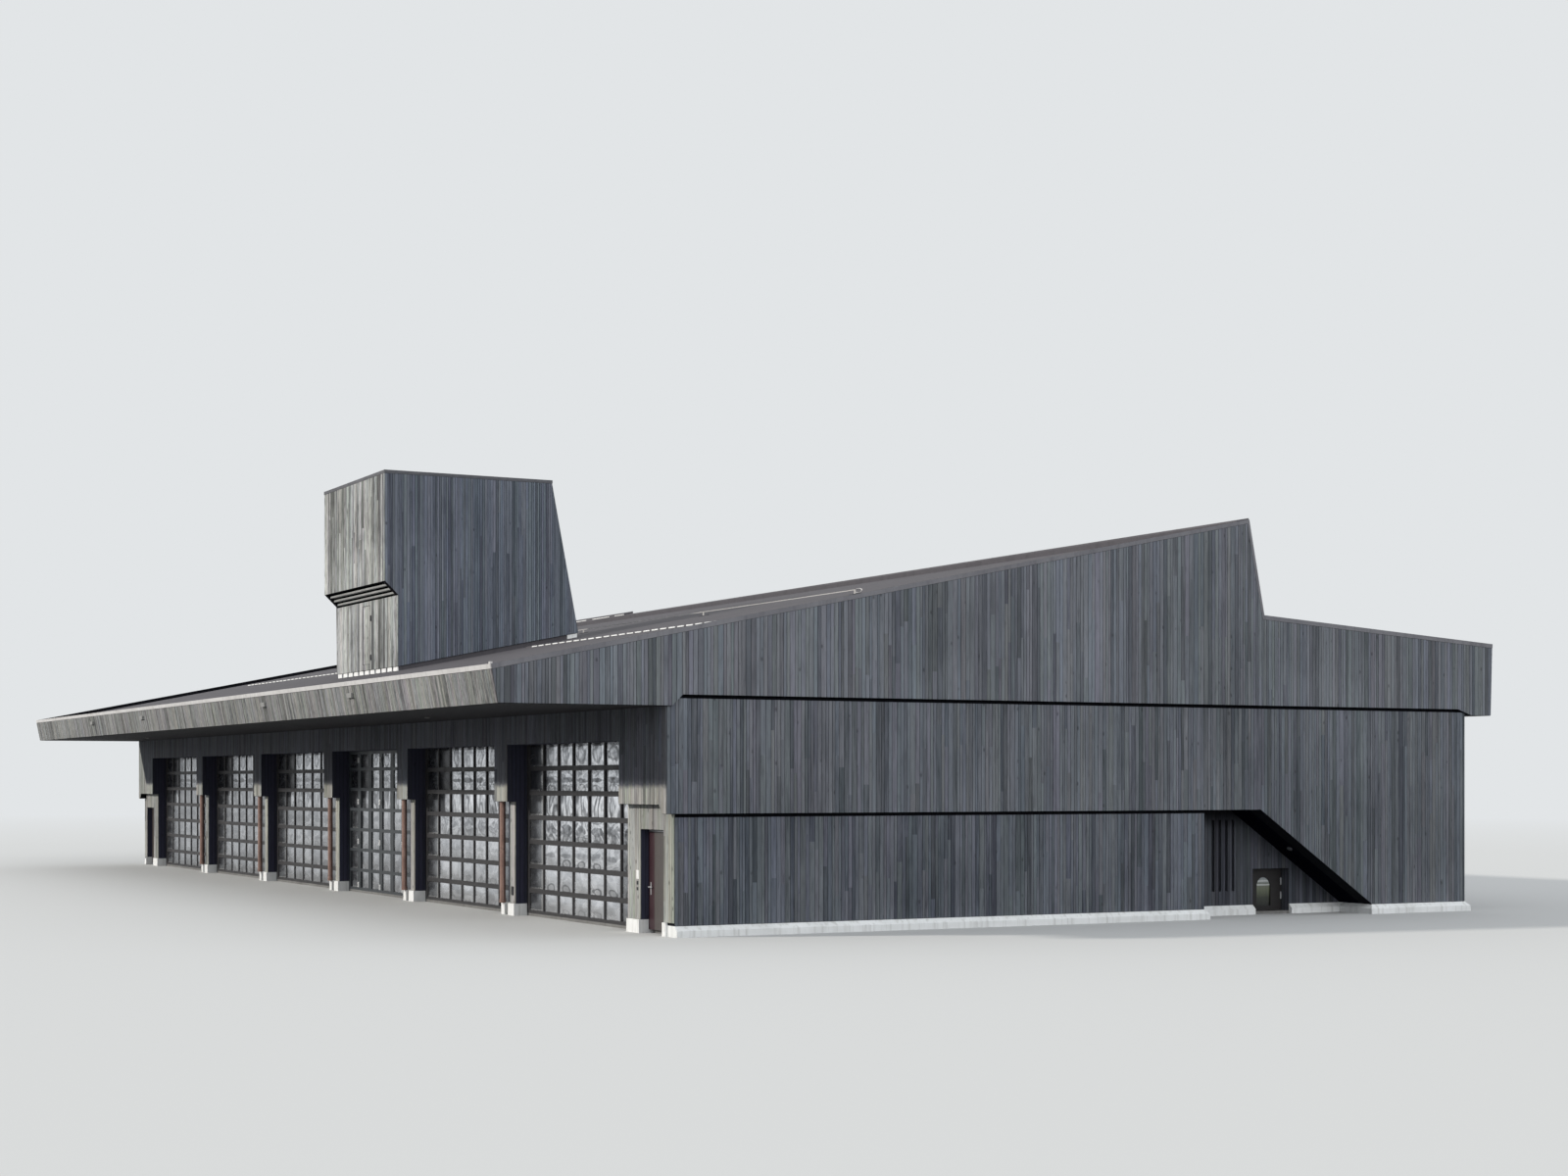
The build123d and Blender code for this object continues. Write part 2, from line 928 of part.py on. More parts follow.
with BuildPart() as tower_louvre:
    slat_height = (tower_belt_top - tower_belt_foot) / (2 * louvre_count + 1)
    slat_step = (tower_low_front - tower_front) / (2 * louvre_count + 1)
    with BuildSketch(gable_plane(tower_near + tower_wall)):
        for slat in range(louvre_count):
            gap = 2 * slat + 1
            with Locations((tower_low_front - gap * slat_step, tower_belt_foot + gap * slat_height)):
                Rectangle(louvre_depth, slat_height, align=(Align.MIN, Align.MIN))
    extrude(amount=-inner_width)
save(tower_louvre.part, "tower_louvre")

with BuildPart() as tower_back:
    inner_foot = tower_rear_foot - tower_wall
    with BuildSketch(gable_plane(tower_near + tower_wall)):
        face(
            (inner_foot, long_roof(inner_foot)),
            (tower_rear_foot, long_roof(tower_rear_foot)),
            (tower_rear(wall_top), wall_top),
            (tower_rear(wall_top) - tower_wall, wall_top),
        )
    extrude(amount=-inner_width)
save(tower_back.part, "tower_back")

with BuildPart() as tower_roof:
    slab(
        (tower_front - tower_cap_reach, tower_rear_top + tower_cap_reach),
        (tower_near - tower_cap_reach, tower_far + tower_cap_reach),
        (wall_top, tower_top),
    )
save(tower_roof.part, "tower_roof")

# Vehicle doors: five in sections and one that folds, each a lattice with one sheet of glass

door_place = front_wall
section_height = bay_head / pane_rows


def vehicle_door(bay, columns, edge, bar, rail, rise, head):
    """A door's frame behind its bay, with a pane cut for each column of every section."""
    start = bay_near(bay)
    end = bay_far(bay)
    pitch = (end - start - 2 * edge + bar) / columns
    with BuildPart() as door:
        slab(
            (door_place, door_place + door_thick),
            (start - door_overlap, end + door_overlap),
            (floor_level, bay_head + door_overlap),
        )
        with BuildSketch(front_plane(door_place)):
            for row in range(pane_rows):
                foot = row * section_height + rise + rail / 2
                foot = max(foot, floor_level + bottom_rail)
                top = (row + 1) * section_height + rise - rail / 2
                top = head if row == pane_rows - 1 else top
                with Locations(((start + end) / 2, (foot + top) / 2)):
                    with GridLocations(pitch, 0, columns, 1):
                        Rectangle(pitch - bar, top - foot)
        extrude(amount=door_thick, mode=Mode.SUBTRACT)
    return door.part


for bay in range(bay_count):
    if bay == folding_bay:
        head = bay_head - fold_rail
        door = vehicle_door(bay, fold_columns, fold_edge, fold_bar, fold_rail, fold_rise, head)
    else:
        head = bay_head + rail_rise
        door = vehicle_door(bay, pane_columns, door_edge, door_bar, door_rail, rail_rise, head)
    save(door, f"bay_door_{bay + 1}")

with BuildPart() as bay_glass:
    for bay in range(bay_count):
        slab(
            (door_place + door_thick, door_place + door_thick + glass_thick),
            (bay_near(bay), bay_far(bay)),
            (floor_level + bottom_rail / 2, bay_head + door_overlap / 2),
        )
save(bay_glass.part, "bay_glass")

with BuildPart() as fold_hinges:
    leaf_pitch = (bay_widths[folding_bay] - 2 * fold_edge + fold_bar) / fold_columns
    first_fold = bay_near(folding_bay) + fold_edge - fold_bar / 2 + leaf_pitch
    for fold in range(0, fold_columns, 2):
        middle = first_fold + fold * leaf_pitch
        for level in hinge_levels:
            slab(
                (door_place - hinge_reach, door_place),
                (middle - hinge_width / 2, middle + hinge_width / 2),
                (level - hinge_height / 2, level + hinge_height / 2),
            )
save(fold_hinges.part, "fold_hinges")

# Doors for people, each with a lever handle

leaf_place = front_step + entry_setback
leaf_foot = floor_level + sill_gap


def entry_leaf(start):
    """A plain leaf in a doorway of the front."""
    with BuildPart() as leaf:
        slab(
            (leaf_place, leaf_place + leaf_thick),
            (start + side_gap, start + entry_width - side_gap),
            (leaf_foot, entry_head - sill_gap),
        )
    return leaf.part


def lever(plane, side):
    """A lever handle standing out of a door's face, its bar running to one side."""
    with BuildPart() as handle:
        with BuildSketch(plane):
            Circle(handle_bar / 2)
        extrude(amount=handle_reach)
        with BuildSketch(plane.offset(handle_reach - handle_bar)):
            with Locations((side * handle_length / 2, 0)):
                Rectangle(handle_length, handle_bar)
        extrude(amount=handle_bar)
    return handle.part


def outward(y):
    """A plane on an entry door's face, looking at the yard."""
    origin = (front + leaf_place, y, leaf_foot + handle_height)
    return Plane(origin=origin, x_dir=(0, -1, 0), z_dir=(-1, 0, 0))


handle_inset = side_gap + handle_bar * 4

save(entry_leaf(near_entry), "near_entry_door")
save(lever(outward(near_entry + entry_width - handle_inset), 1), "near_entry_handle")
save(entry_leaf(far_entry), "far_entry_door")
save(lever(outward(far_entry + handle_inset), -1), "far_entry_handle")

niche_leaf_y = niche_back + niche_door_setback
leaf_left = niche_door_x + side_gap
leaf_right = niche_door_end - side_gap


def arched_pane():
    """The arched outline of the niche door's pane, on the current sketch."""
    left = (leaf_left + leaf_right - pane_width) / 2
    foot = leaf_foot + pane_margin / 2
    spring = niche_door_head - sill_gap - pane_margin - pane_width / 2
    with Locations((left, foot)):
        Rectangle(pane_width, spring - foot, align=(Align.MIN, Align.MIN))
    with Locations((left + pane_width / 2, spring)):
        Circle(pane_width / 2)


with BuildPart() as niche_door:
    slab(
        (leaf_left, leaf_right),
        (niche_leaf_y, niche_leaf_y + leaf_thick),
        (leaf_foot, niche_door_head - sill_gap),
    )
    with BuildSketch(gable_plane(niche_leaf_y)):
        arched_pane()
    extrude(amount=-leaf_thick, mode=Mode.SUBTRACT)
save(niche_door.part, "niche_door")

with BuildPart() as niche_door_glass:
    with BuildSketch(gable_plane(niche_leaf_y + leaf_thick / 2)):
        arched_pane()
    extrude(amount=-glass_thick)
save(niche_door_glass.part, "niche_door_glass")

# Downpipes, lamps and small plates on the walls

with BuildPart() as downpipes:
    for start in pier_starts:
        with BuildSketch(Plane.XY.offset(block_top)):
            with Locations((front + pipe_place, start + pier_width - pipe_inset)):
                Circle(pipe_radius)
        extrude(amount=front_lap - block_top)
save(downpipes.part, "downpipes")

lamp_level = eaves_level - lamp_drop
lamp_face = fascia_face(lamp_level + lamp_height / 2)
niche_light_place = niche_turn + niche_light_run
under_ceiling = Plane(
    origin=(
        front + niche_light_place,
        near + niche_light_inset,
        niche_ceiling(niche_light_place),
    ),
    x_dir=(0, 1, 0),
    z_dir=(-niche_slope, 0, -1),
)

with BuildPart() as outdoor_lamps:
    for offset in lamp_offsets:
        slab(
            (lamp_face - lamp_depth, lamp_face),
            (near + offset - lamp_width / 2, near + offset + lamp_width / 2),
            (lamp_level - lamp_height / 2, lamp_level + lamp_height / 2),
        )
    for y in (near + light_near_offset, far - light_far_offset):
        with BuildSketch(Plane.XY.offset(soffit_level)):
            with Locations((front + light_place, y)):
                Circle(light_radius)
        extrude(amount=-light_drop)
    with BuildSketch(under_ceiling):
        Circle(light_radius)
    extrude(amount=light_drop)
save(outdoor_lamps.part, "outdoor_lamps")

with BuildPart() as door_plate:
    plate_near = near_entry + entry_width + plate_gap
    slab(
        (front_step - plate_thick, front_step),
        (plate_near, plate_near + plate_width),
        (plate_level, plate_level + plate_height),
    )
save(door_plate.part, "door_plate")

with BuildPart() as wall_hatch:
    hatch_start = niche_start - wall_hatch_offset
    slab(
        (hatch_start, hatch_start + wall_hatch_width),
        (low_face - hatch_setback, low_face),
        (wall_hatch_foot, wall_hatch_head),
    )
save(wall_hatch.part, "wall_hatch")
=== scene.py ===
# %% [markdown]
# # A timber fire station, dressed for its picture
# The station's solids come ready: walls in three laps, roofs, doors and a hose tower. This lesson
# gives them what a camera sees first: thousands of narrow weathered boards, wavy door panes, dull
# metal edges and stained concrete. Each step says what the piece is on the real building, how else
# it could be made, and why it is made this way.

# %% Load the solids
import math
import random

import bmesh
import bpy
from mathutils import Matrix, Vector


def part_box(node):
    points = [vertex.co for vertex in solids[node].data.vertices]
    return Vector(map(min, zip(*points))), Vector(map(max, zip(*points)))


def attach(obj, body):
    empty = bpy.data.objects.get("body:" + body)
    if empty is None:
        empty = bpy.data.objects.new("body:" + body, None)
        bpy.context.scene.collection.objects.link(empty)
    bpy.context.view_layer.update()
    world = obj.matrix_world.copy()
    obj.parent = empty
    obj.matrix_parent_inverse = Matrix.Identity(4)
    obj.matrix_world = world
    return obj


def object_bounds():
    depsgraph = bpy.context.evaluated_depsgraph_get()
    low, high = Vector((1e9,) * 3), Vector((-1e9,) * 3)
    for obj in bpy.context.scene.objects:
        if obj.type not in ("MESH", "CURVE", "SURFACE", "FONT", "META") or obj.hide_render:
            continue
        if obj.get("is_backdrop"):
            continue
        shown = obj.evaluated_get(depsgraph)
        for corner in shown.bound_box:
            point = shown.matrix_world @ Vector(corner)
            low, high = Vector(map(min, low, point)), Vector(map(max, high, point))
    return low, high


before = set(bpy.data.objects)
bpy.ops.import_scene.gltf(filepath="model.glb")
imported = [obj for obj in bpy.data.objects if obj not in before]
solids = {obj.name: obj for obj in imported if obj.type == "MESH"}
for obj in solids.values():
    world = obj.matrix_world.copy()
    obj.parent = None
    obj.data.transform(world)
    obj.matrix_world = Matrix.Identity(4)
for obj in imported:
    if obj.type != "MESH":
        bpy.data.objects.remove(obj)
cad_low, cad_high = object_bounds()
print("solids:", len(solids), "size in metres:", [round(v, 2) for v in cad_high - cad_low])

# %% [markdown]
# ## Where things are
# Most levels are read from the solids, so the dressing follows them. The roof's corners don't lie
# on a box, so they are written down. Distances behind the front face are called places here, and
# grow towards the rear. All lengths are in metres.

# %% Levels and places
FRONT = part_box("front_header")[0].x
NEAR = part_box("near_gable_top")[0].y
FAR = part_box("far_gable_top")[1].y
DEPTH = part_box("rear_wall")[1].x - FRONT
SKIN = 0.06
FRONT_STEP = 0.2
PLINTH_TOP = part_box("near_gable_low")[0].z
LOW_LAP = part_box("near_gable_low")[1].z
HIGH_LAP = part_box("near_gable_middle")[1].z
FRONT_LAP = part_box("lower_piers")[1].z
BAY_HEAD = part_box("front_header")[0].z
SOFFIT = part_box("roof_soffits")[0].z
BLOCK_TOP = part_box("base_blocks")[1].z
LAP_GAP = 0.06
TRIM = 0.09
CANOPY_FOOT = 3.45
FASCIA_LEAN = 0.2
EAVES = 5.03
EAVES_REACH = 3.59
RIDGE = Vector((14.02, 0, 8.51))
VALLEY = Vector((14.44, 0, 6.48))
REAR_EDGE = Vector((21.2, 0, 6.04))
REAR_FOOT = Vector((21.14, 0, 4.41))
SLOPE = (RIDGE.z - EAVES) / (RIDGE.x + EAVES_REACH)
ROOF_DROP = 0.11


def spot(place, y, level):
    """A point from its place behind the front face, its Y and its level."""
    return Vector((FRONT + place, y, level))


def roof_edge(place):
    """Level of the long roof's edge at a place."""
    return EAVES + SLOPE * (place + EAVES_REACH)


def fascia_place(level):
    """Place of the leaning fascia's face at a level."""
    return -CANOPY_FOOT - FASCIA_LEAN * (level - SOFFIT)


print("front", round(FRONT, 3), "near", round(NEAR, 3), "far", round(FAR, 3))

# %% [markdown]
# ## Camera
# The picture was taken from a field, and every post in it stands upright. A tilted camera would
# make the posts lean. A level one with its lens shifted sideways and up keeps them as they are.

# %% Camera
def add_object(name, data):
    """An object that shows in the scene."""
    made = bpy.data.objects.new(name, data)
    bpy.context.scene.collection.objects.link(made)
    return made


eye = bpy.data.cameras.new("field_camera")
eye.sensor_width = 36
eye.lens = 49.479
eye.shift_x = 0.15
eye.shift_y = 0.1232
eye.clip_end = 3000
camera = add_object("field_camera", eye)
camera.location = (-29.085, -55.270, 2.925)
camera.rotation_euler = (math.radians(90), 0, math.radians(-24.884))
bpy.context.scene.camera = camera
bpy.context.scene.view_settings.view_transform = "Standard"
print("camera stands", round((camera.location - spot(0, NEAR, 0)).length, 1), "m from the corner")

# %% [markdown]
# ## A short way to write shader nodes
# Every finish below is made of shader nodes. One helper adds a node and fills its sockets, and one
# starts a node group with named sockets, which many finishes then use. Colours are written as a
# screen shows them, and turned into the linear ones that nodes count with.

# %% Node helpers
def shade(red, green, blue):
    """A screen colour, 0 to 255, as the linear colour that nodes use."""
    channels = []
    for value in (red, green, blue):
        part = value / 255
        channels.append(part / 12.92 if part < 0.04045 else ((part + 0.055) / 1.055) ** 2.4)
    return (*channels, 1)


def wire(tree, kind, sockets=None, **settings):
    """Add a node. Its sockets are given values, or outputs of other nodes to link."""
    made = tree.nodes.new("ShaderNode" + kind)
    for field, value in settings.items():
        setattr(made, field, value)
    for socket, value in (sockets or {}).items():
        if isinstance(value, bpy.types.NodeSocket):
            tree.links.new(value, made.inputs[socket])
        else:
            made.inputs[socket].default_value = value
    return made


def blend(tree, share, first, second, mode="MIX"):
    """A colour between two others."""
    sockets = {0: share, 6: first, 7: second}
    made = wire(tree, "Mix", sockets, data_type="RGBA", blend_type=mode)
    return made.outputs[2]


def sums(tree, operation, *values):
    """One step of arithmetic."""
    made = wire(tree, "Math", dict(enumerate(values)), operation=operation)
    return made.outputs[0]


def times(tree, first, second):
    """A product."""
    return sums(tree, "MULTIPLY", first, second)


def minus(tree, first, second):
    """A difference."""
    return sums(tree, "SUBTRACT", first, second)


def split(tree, vector):
    """The three parts of a vector."""
    return wire(tree, "SeparateXYZ", {0: vector}).outputs


def spread(tree, value, low, high, to_low=0.0, to_high=1.0):
    """A value rescaled from one range to another, and held inside it."""
    sockets = {0: value, 1: low, 2: high, 3: to_low, 4: to_high}
    return wire(tree, "MapRange", sockets).outputs[0]


def stretched(tree, place, scale):
    """Coordinates scaled by a different amount along each axis."""
    return wire(tree, "Mapping", {"Vector": place, "Scale": scale}).outputs[0]


def noise(tree, place, scale, detail, rough, distortion=0.0):
    """Cloudy noise from 0 to 1."""
    sockets = {"Vector": place, "Scale": scale, "Detail": detail}
    sockets |= {"Roughness": rough, "Distortion": distortion}
    return wire(tree, "TexNoise", sockets).outputs[0]


def ramp(tree, value, stops):
    """Colours along a value, as (position, screen colour) stops."""
    made = wire(tree, "ValToRGB", {0: value})
    colours = made.color_ramp.elements
    colours[0].position, colours[1].position = stops[0][0], stops[-1][0]
    colours[0].color, colours[1].color = shade(*stops[0][1]), shade(*stops[-1][1])
    for position, colour in stops[1:-1]:
        colours.new(position).color = shade(*colour)
    return made.outputs[0]


print("middle grey counts as", round(shade(128, 128, 128)[0], 3))

# %% Groups and materials
def start_group(name, inputs, outputs):
    """A node group with named sockets, and its two ends."""
    tree = bpy.data.node_groups.new(name, "ShaderNodeTree")
    for way, sockets in (("INPUT", inputs), ("OUTPUT", outputs)):
        for label, kind in sockets.items():
            tree.interface.new_socket(label, in_out=way, socket_type="NodeSocket" + kind)
    inside = tree.nodes.new("NodeGroupInput").outputs
    result = tree.nodes.new("NodeGroupOutput").inputs
    return tree, inside, result


finishes = {}


def start_finish(name, **fixed):
    """A material: its tree, its shader with some sockets set, and the place on the piece."""
    finish = finishes[name] = bpy.data.materials.new(name)
    finish.use_nodes = True
    tree = finish.node_tree
    shader = tree.nodes["Principled BSDF"]
    for label, value in fixed.items():
        shader.inputs[label.replace("_", " ")].default_value = value
    return tree, shader, wire(tree, "TexCoord").outputs["Object"]


def use_group(tree, group, sockets):
    """A group placed in a material with its own values."""
    return wire(tree, "Group", sockets, node_tree=group).outputs


def plug_in(tree, shader, colour, roughness=None, height=None, depth=0.01):
    """Connect colour, roughness and a bump height to the shader."""
    tree.links.new(colour, shader.inputs["Base Color"])
    if roughness is not None:
        tree.links.new(roughness, shader.inputs["Roughness"])
    if height is not None:
        bump = wire(tree, "Bump", {"Height": height, "Distance": depth, "Strength": 0.6})
        tree.links.new(bump.outputs[0], shader.inputs["Normal"])


print("helpers for groups and materials ready")

# %% [markdown]
# ## Weathered timber
# The boards are larch or spruce under a dark glaze that the weather has worn unevenly. Up close
# there are long fibres, knots, dark flecks where the glaze is left, and boards that are paler,
# greener or browner than their neighbours. An image of wood would repeat over forty metres, so the
# wood is noise: stretched thin along the board for fibres, shorter for flecks, and cells with a
# small dark middle for knots. A board's own number shifts all of it, so that no two match.

# %% Timber group
inputs = {"Place": "Vector", "Board": "Float", "Dark": "Color", "Pale": "Color"}
inputs |= {"Wear": "Float", "Flecks": "Float"}
outputs = {"Colour": "Color", "Roughness": "Float", "Height": "Float"}
timber, inside, result = start_group("weathered_timber", inputs, outputs)
shift = wire(timber, "CombineXYZ", {0: 0.0, 1: 0.0, 2: times(timber, inside[1], 61.0)})
moved = wire(timber, "VectorMath", {0: inside[0], 1: shift.outputs[0]}, operation="ADD").outputs[0]
fibres = noise(timber, stretched(timber, moved, (55, 55, 1.1)), 1.0, 4, 0.65)
streaks = noise(timber, stretched(timber, moved, (17, 17, 0.8)), 1.0, 4, 0.65)
patches = noise(timber, stretched(timber, inside[0], (0.35, 0.35, 0.28)), 1.0, 3, 0.55)
flecks = noise(timber, stretched(timber, moved, (26, 26, 3.2)), 1.0, 2, 0.5)
flecks = spread(timber, flecks, 0.52, 0.68)
knot_place = stretched(timber, moved, (6.0, 6.0, 3.6))
cells = wire(timber, "TexVoronoi", {"Vector": knot_place, "Scale": 1.0})
few = wire(timber, "SeparateColor", {0: cells.outputs["Color"]}).outputs[0]
few = spread(timber, few, 0.80, 0.82)
knots = times(timber, spread(timber, cells.outputs["Distance"], 0.2, 0.08), few)
fresh = sums(timber, "POWER", minus(timber, 1.0, inside[1]), 2.4)
faded = minus(timber, 1.0, fresh)
tone = sums(timber, "MULTIPLY_ADD", faded, 0.56, spread(timber, streaks, 0.3, 0.7, -0.16, 0.32))
tone = sums(timber, "ADD", tone, spread(timber, fibres, 0.3, 0.7, -0.16, 0.16))
worn = times(timber, spread(timber, patches, 0.35, 0.65, -0.5, 0.5), inside[4])
tone = wire(timber, "Math", {0: tone, 1: worn}, operation="ADD", use_clamp=True).outputs[0]
wood = blend(timber, tone, inside[2], inside[3])
chances = wire(timber, "TexWhiteNoise", {"W": inside[1]}, noise_dimensions="1D").outputs[1]
tints = {0: chances, 1: (0.09, 0.06, 0.11), 2: (0.955, 0.97, 0.945)}
tint = wire(timber, "VectorMath", tints, operation="MULTIPLY_ADD").outputs[0]
wood = blend(timber, 1.0, wood, tint, "MULTIPLY")
glazed = blend(timber, 0.6, wood, shade(20, 20, 22))
wood = blend(timber, times(timber, flecks, inside[5]), wood, glazed)
wood = blend(timber, times(timber, knots, 0.55), wood, shade(34, 33, 35))
timber.links.new(wood, result[0])
timber.links.new(spread(timber, fibres, 0.2, 0.8, 0.92, 0.7), result[1])
dips = times(timber, knots, -0.5)
timber.links.new(sums(timber, "MULTIPLY_ADD", fibres, 0.6, dips), result[2])
print("timber group has", len(timber.nodes), "nodes")

# %% [markdown]
# ## Boards that are only painted on
# Behind the boards and in the deep reveals the solids' own faces show. They get the same wood, with
# the boards drawn by arithmetic: the distance along the wall is cut into board widths, and each
# width's number stands for its board. The wall's direction comes from its normal.

# %% Board rows group
DRAWN_BOARD = 0.1
inputs, outputs = {"Place": "Vector", "Normal": "Vector"}, {"Board": "Float", "Joint": "Float"}
rows, inside, result = start_group("board_rows", inputs, outputs)
where = split(rows, inside[0])
facing = split(rows, inside[1])
sideways = sums(rows, "GREATER_THAN", sums(rows, "ABSOLUTE", facing[1]), 0.7)
along = wire(rows, "Mix", {0: sideways, 2: where[1], 3: where[0]}, data_type="FLOAT").outputs[0]
steps = sums(rows, "DIVIDE", along, DRAWN_BOARD)
number = sums(rows, "FLOOR", steps)
chances = wire(rows, "TexWhiteNoise", {"W": number}, noise_dimensions="1D")
rows.links.new(chances.outputs[0], result[0])
edge = sums(rows, "ABSOLUTE", minus(rows, sums(rows, "FRACT", steps), 0.5))
rows.links.new(spread(rows, edge, 0.44, 0.48), result[1])
print("board rows group has", len(rows.nodes), "nodes")

# %% [markdown]
# ## One wood, many walls
# The same timber is set paler on the front and the tower front than on the gables, partly as
# painted sunlight, and a little darker on each lower lap of a gable. Under the canopy the boards
# get a painted shadow of the canopy: darker above a level line, except past a slanting line at the
# far end, where the low sun's ray comes in sideways. A separate wood for the two halves of a board
# would show a hard edge, so one finish goes from the painted shadow tone to the lit one over a
# hand's height, at a level that differs a little from board to board. The niche walls get a
# painted shade under their ceiling in the same way.

# %% Timber for real boards and for drawn ones
# level of the canopy's painted shadow line on the front boards
SHADE_LEVEL = 2.84
SUN_RAY = (1.0, -0.32, -0.424)
SUN_SLANT = SUN_RAY[1] / SUN_RAY[2]


def board_finish(name, dark, pale, wear, flecks, canopy_shadow_tint=None):
    """Wood for real boards, which carry their own number."""
    tree, shader, place = start_finish(name, Specular_IOR_Level=0.25)
    board = wire(tree, "Attribute", attribute_name="board").outputs["Fac"]
    sockets = {"Place": place, "Board": board, "Dark": shade(*dark), "Pale": shade(*pale)}
    made = use_group(tree, timber, {**sockets, "Wear": wear, "Flecks": flecks})
    colour = made[0]
    # painted shadow of the canopy: darker above a level line, except past a slanting line near the
    # far end that follows the sun's ray
    if canopy_shadow_tint:
        along, level = split(tree, place)[1:]
        level = sums(tree, "MULTIPLY_ADD", board, 0.05, level)
        above = spread(tree, level, SHADE_LEVEL - 0.03, SHADE_LEVEL + 0.06)
        open_end = sums(tree, "MULTIPLY_ADD", level, SUN_SLANT, FAR - SUN_SLANT * SOFFIT)
        above = times(tree, above, spread(tree, minus(tree, open_end, along), -0.03, 0.03))
        shaded = blend(tree, 1.0, colour, shade(*canopy_shadow_tint), "MULTIPLY")
        colour = blend(tree, above, colour, shaded)
    plug_in(tree, shader, colour, made[1], made[2], 0.004)


def wall_finish(name, dark, pale, gloss=0.2, shade_band=None):
    """Wood for the solids' own faces, its boards drawn by arithmetic."""
    tree, shader, place = start_finish(name, Specular_IOR_Level=gloss)
    normal = wire(tree, "TexCoord").outputs["Normal"]
    drawn = use_group(tree, rows, {"Place": place, "Normal": normal})
    sockets = {"Place": place, "Board": drawn[0], "Dark": shade(*dark), "Pale": shade(*pale)}
    made = use_group(tree, timber, {**sockets, "Wear": 0.25, "Flecks": 0.2})
    colour = blend(tree, drawn[1], made[0], shade(14, 14, 16))
    # painted shade that deepens upwards under the niche ceiling
    if shade_band:
        level = split(tree, place)[2]
        colour = blend(tree, spread(tree, level, *shade_band), colour, shade(8, 8, 14))
    plug_in(tree, shader, colour, made[1], minus(tree, made[2], drawn[1]))


print("sun slants by", round(SUN_SLANT, 2), "along the front")

# %% Timber finishes
WOODS = {
    # name: dark, pale, wear, flecks, tint of the painted canopy shadow
    "gable_top_boards": ((80, 83, 88), (130, 133, 139), 0.3, 0.3),
    "gable_middle_boards": ((70, 74, 79), (122, 125, 131), 0.3, 0.35),
    "gable_low_boards": ((58, 62, 69), (115, 119, 126), 0.35, 0.4),
    "tower_side_boards": ((72, 77, 86), (125, 131, 141), 0.2, 0.3),
    "canopy_boards": ((70, 71, 70), (158, 158, 156), 0.35, 0.5),
    # the front and the tower front are set paler than the gables, partly as painted sunlight
    "front_boards": ((104, 104, 101), (190, 190, 183), 0.3, 0.4, (151, 154, 170)),
    "tower_front_boards": ((84, 85, 84), (210, 211, 208), 0.45, 1.0),
}
WALLS = {
    # name: dark, pale, gloss, levels between which it sinks into painted shade
    "wall_backing": ((12, 12, 17), (24, 25, 30), 0.05),
    # the reveals, the ceilings and the niche lining are set far darker than the boards as painted
    # shade
    "dark_reveals": ((44, 45, 57), (60, 61, 76)),
    "dark_ceilings": ((16, 16, 21), (27, 27, 33)),
    "niche_walls": ((48, 50, 56), (92, 95, 102), 0.2, (LOW_LAP - 0.42, LOW_LAP - 0.08)),
    "niche_lining": ((12, 12, 22), (20, 20, 32), 0.0),
}
for name, values in WOODS.items():
    board_finish(name, *values)
for name, values in WALLS.items():
    wall_finish(name, *values)
print("timber finishes:", len(finishes))

# %% [markdown]
# ## Dull metal, concrete and paint
# The roof edges are folded zinc, the downpipes browned copper and the plinth fair-faced concrete.
# All of them stain the same way, in cloudy patches and in runs that the rain draws downwards, so
# one group makes both masks.

# %% Stains group
inputs, outputs = {"Place": "Vector", "Size": "Float"}, {"Clouds": "Float", "Runs": "Float"}
stains, inside, result = start_group("stains", inputs, {**outputs, "Grain": "Float"})
scaled = wire(stains, "VectorMath", {0: inside[0], 3: inside[1]}, operation="SCALE").outputs[0]
stains.links.new(spread(stains, noise(stains, scaled, 1.1, 4, 0.6), 0.35, 0.7), result[0])
runs = noise(stains, stretched(stains, scaled, (9, 9, 0.7)), 1.0, 3, 0.6)
stains.links.new(spread(stains, runs, 0.5, 0.72), result[1])
stains.links.new(noise(stains, scaled, 45.0, 3, 0.6), result[2])
print("stains group has", len(stains.nodes), "nodes")


# %% Metal, concrete and paint finishes
def plain_finish(name, clean, cloudy, streaked, rough, metal=0, size=1):
    """A finish with clouds of one colour and runs of another."""
    tree, shader, place = start_finish(name, Metallic=metal)
    made = use_group(tree, stains, {"Place": place, "Size": size})
    colour = blend(tree, made[0], shade(*clean), shade(*cloudy))
    colour = blend(tree, times(tree, made[1], 0.6), colour, shade(*streaked))
    roughness = spread(tree, made[0], 0, 1, rough - 0.08, rough + 0.1)
    plug_in(tree, shader, colour, roughness, made[2], 0.003)


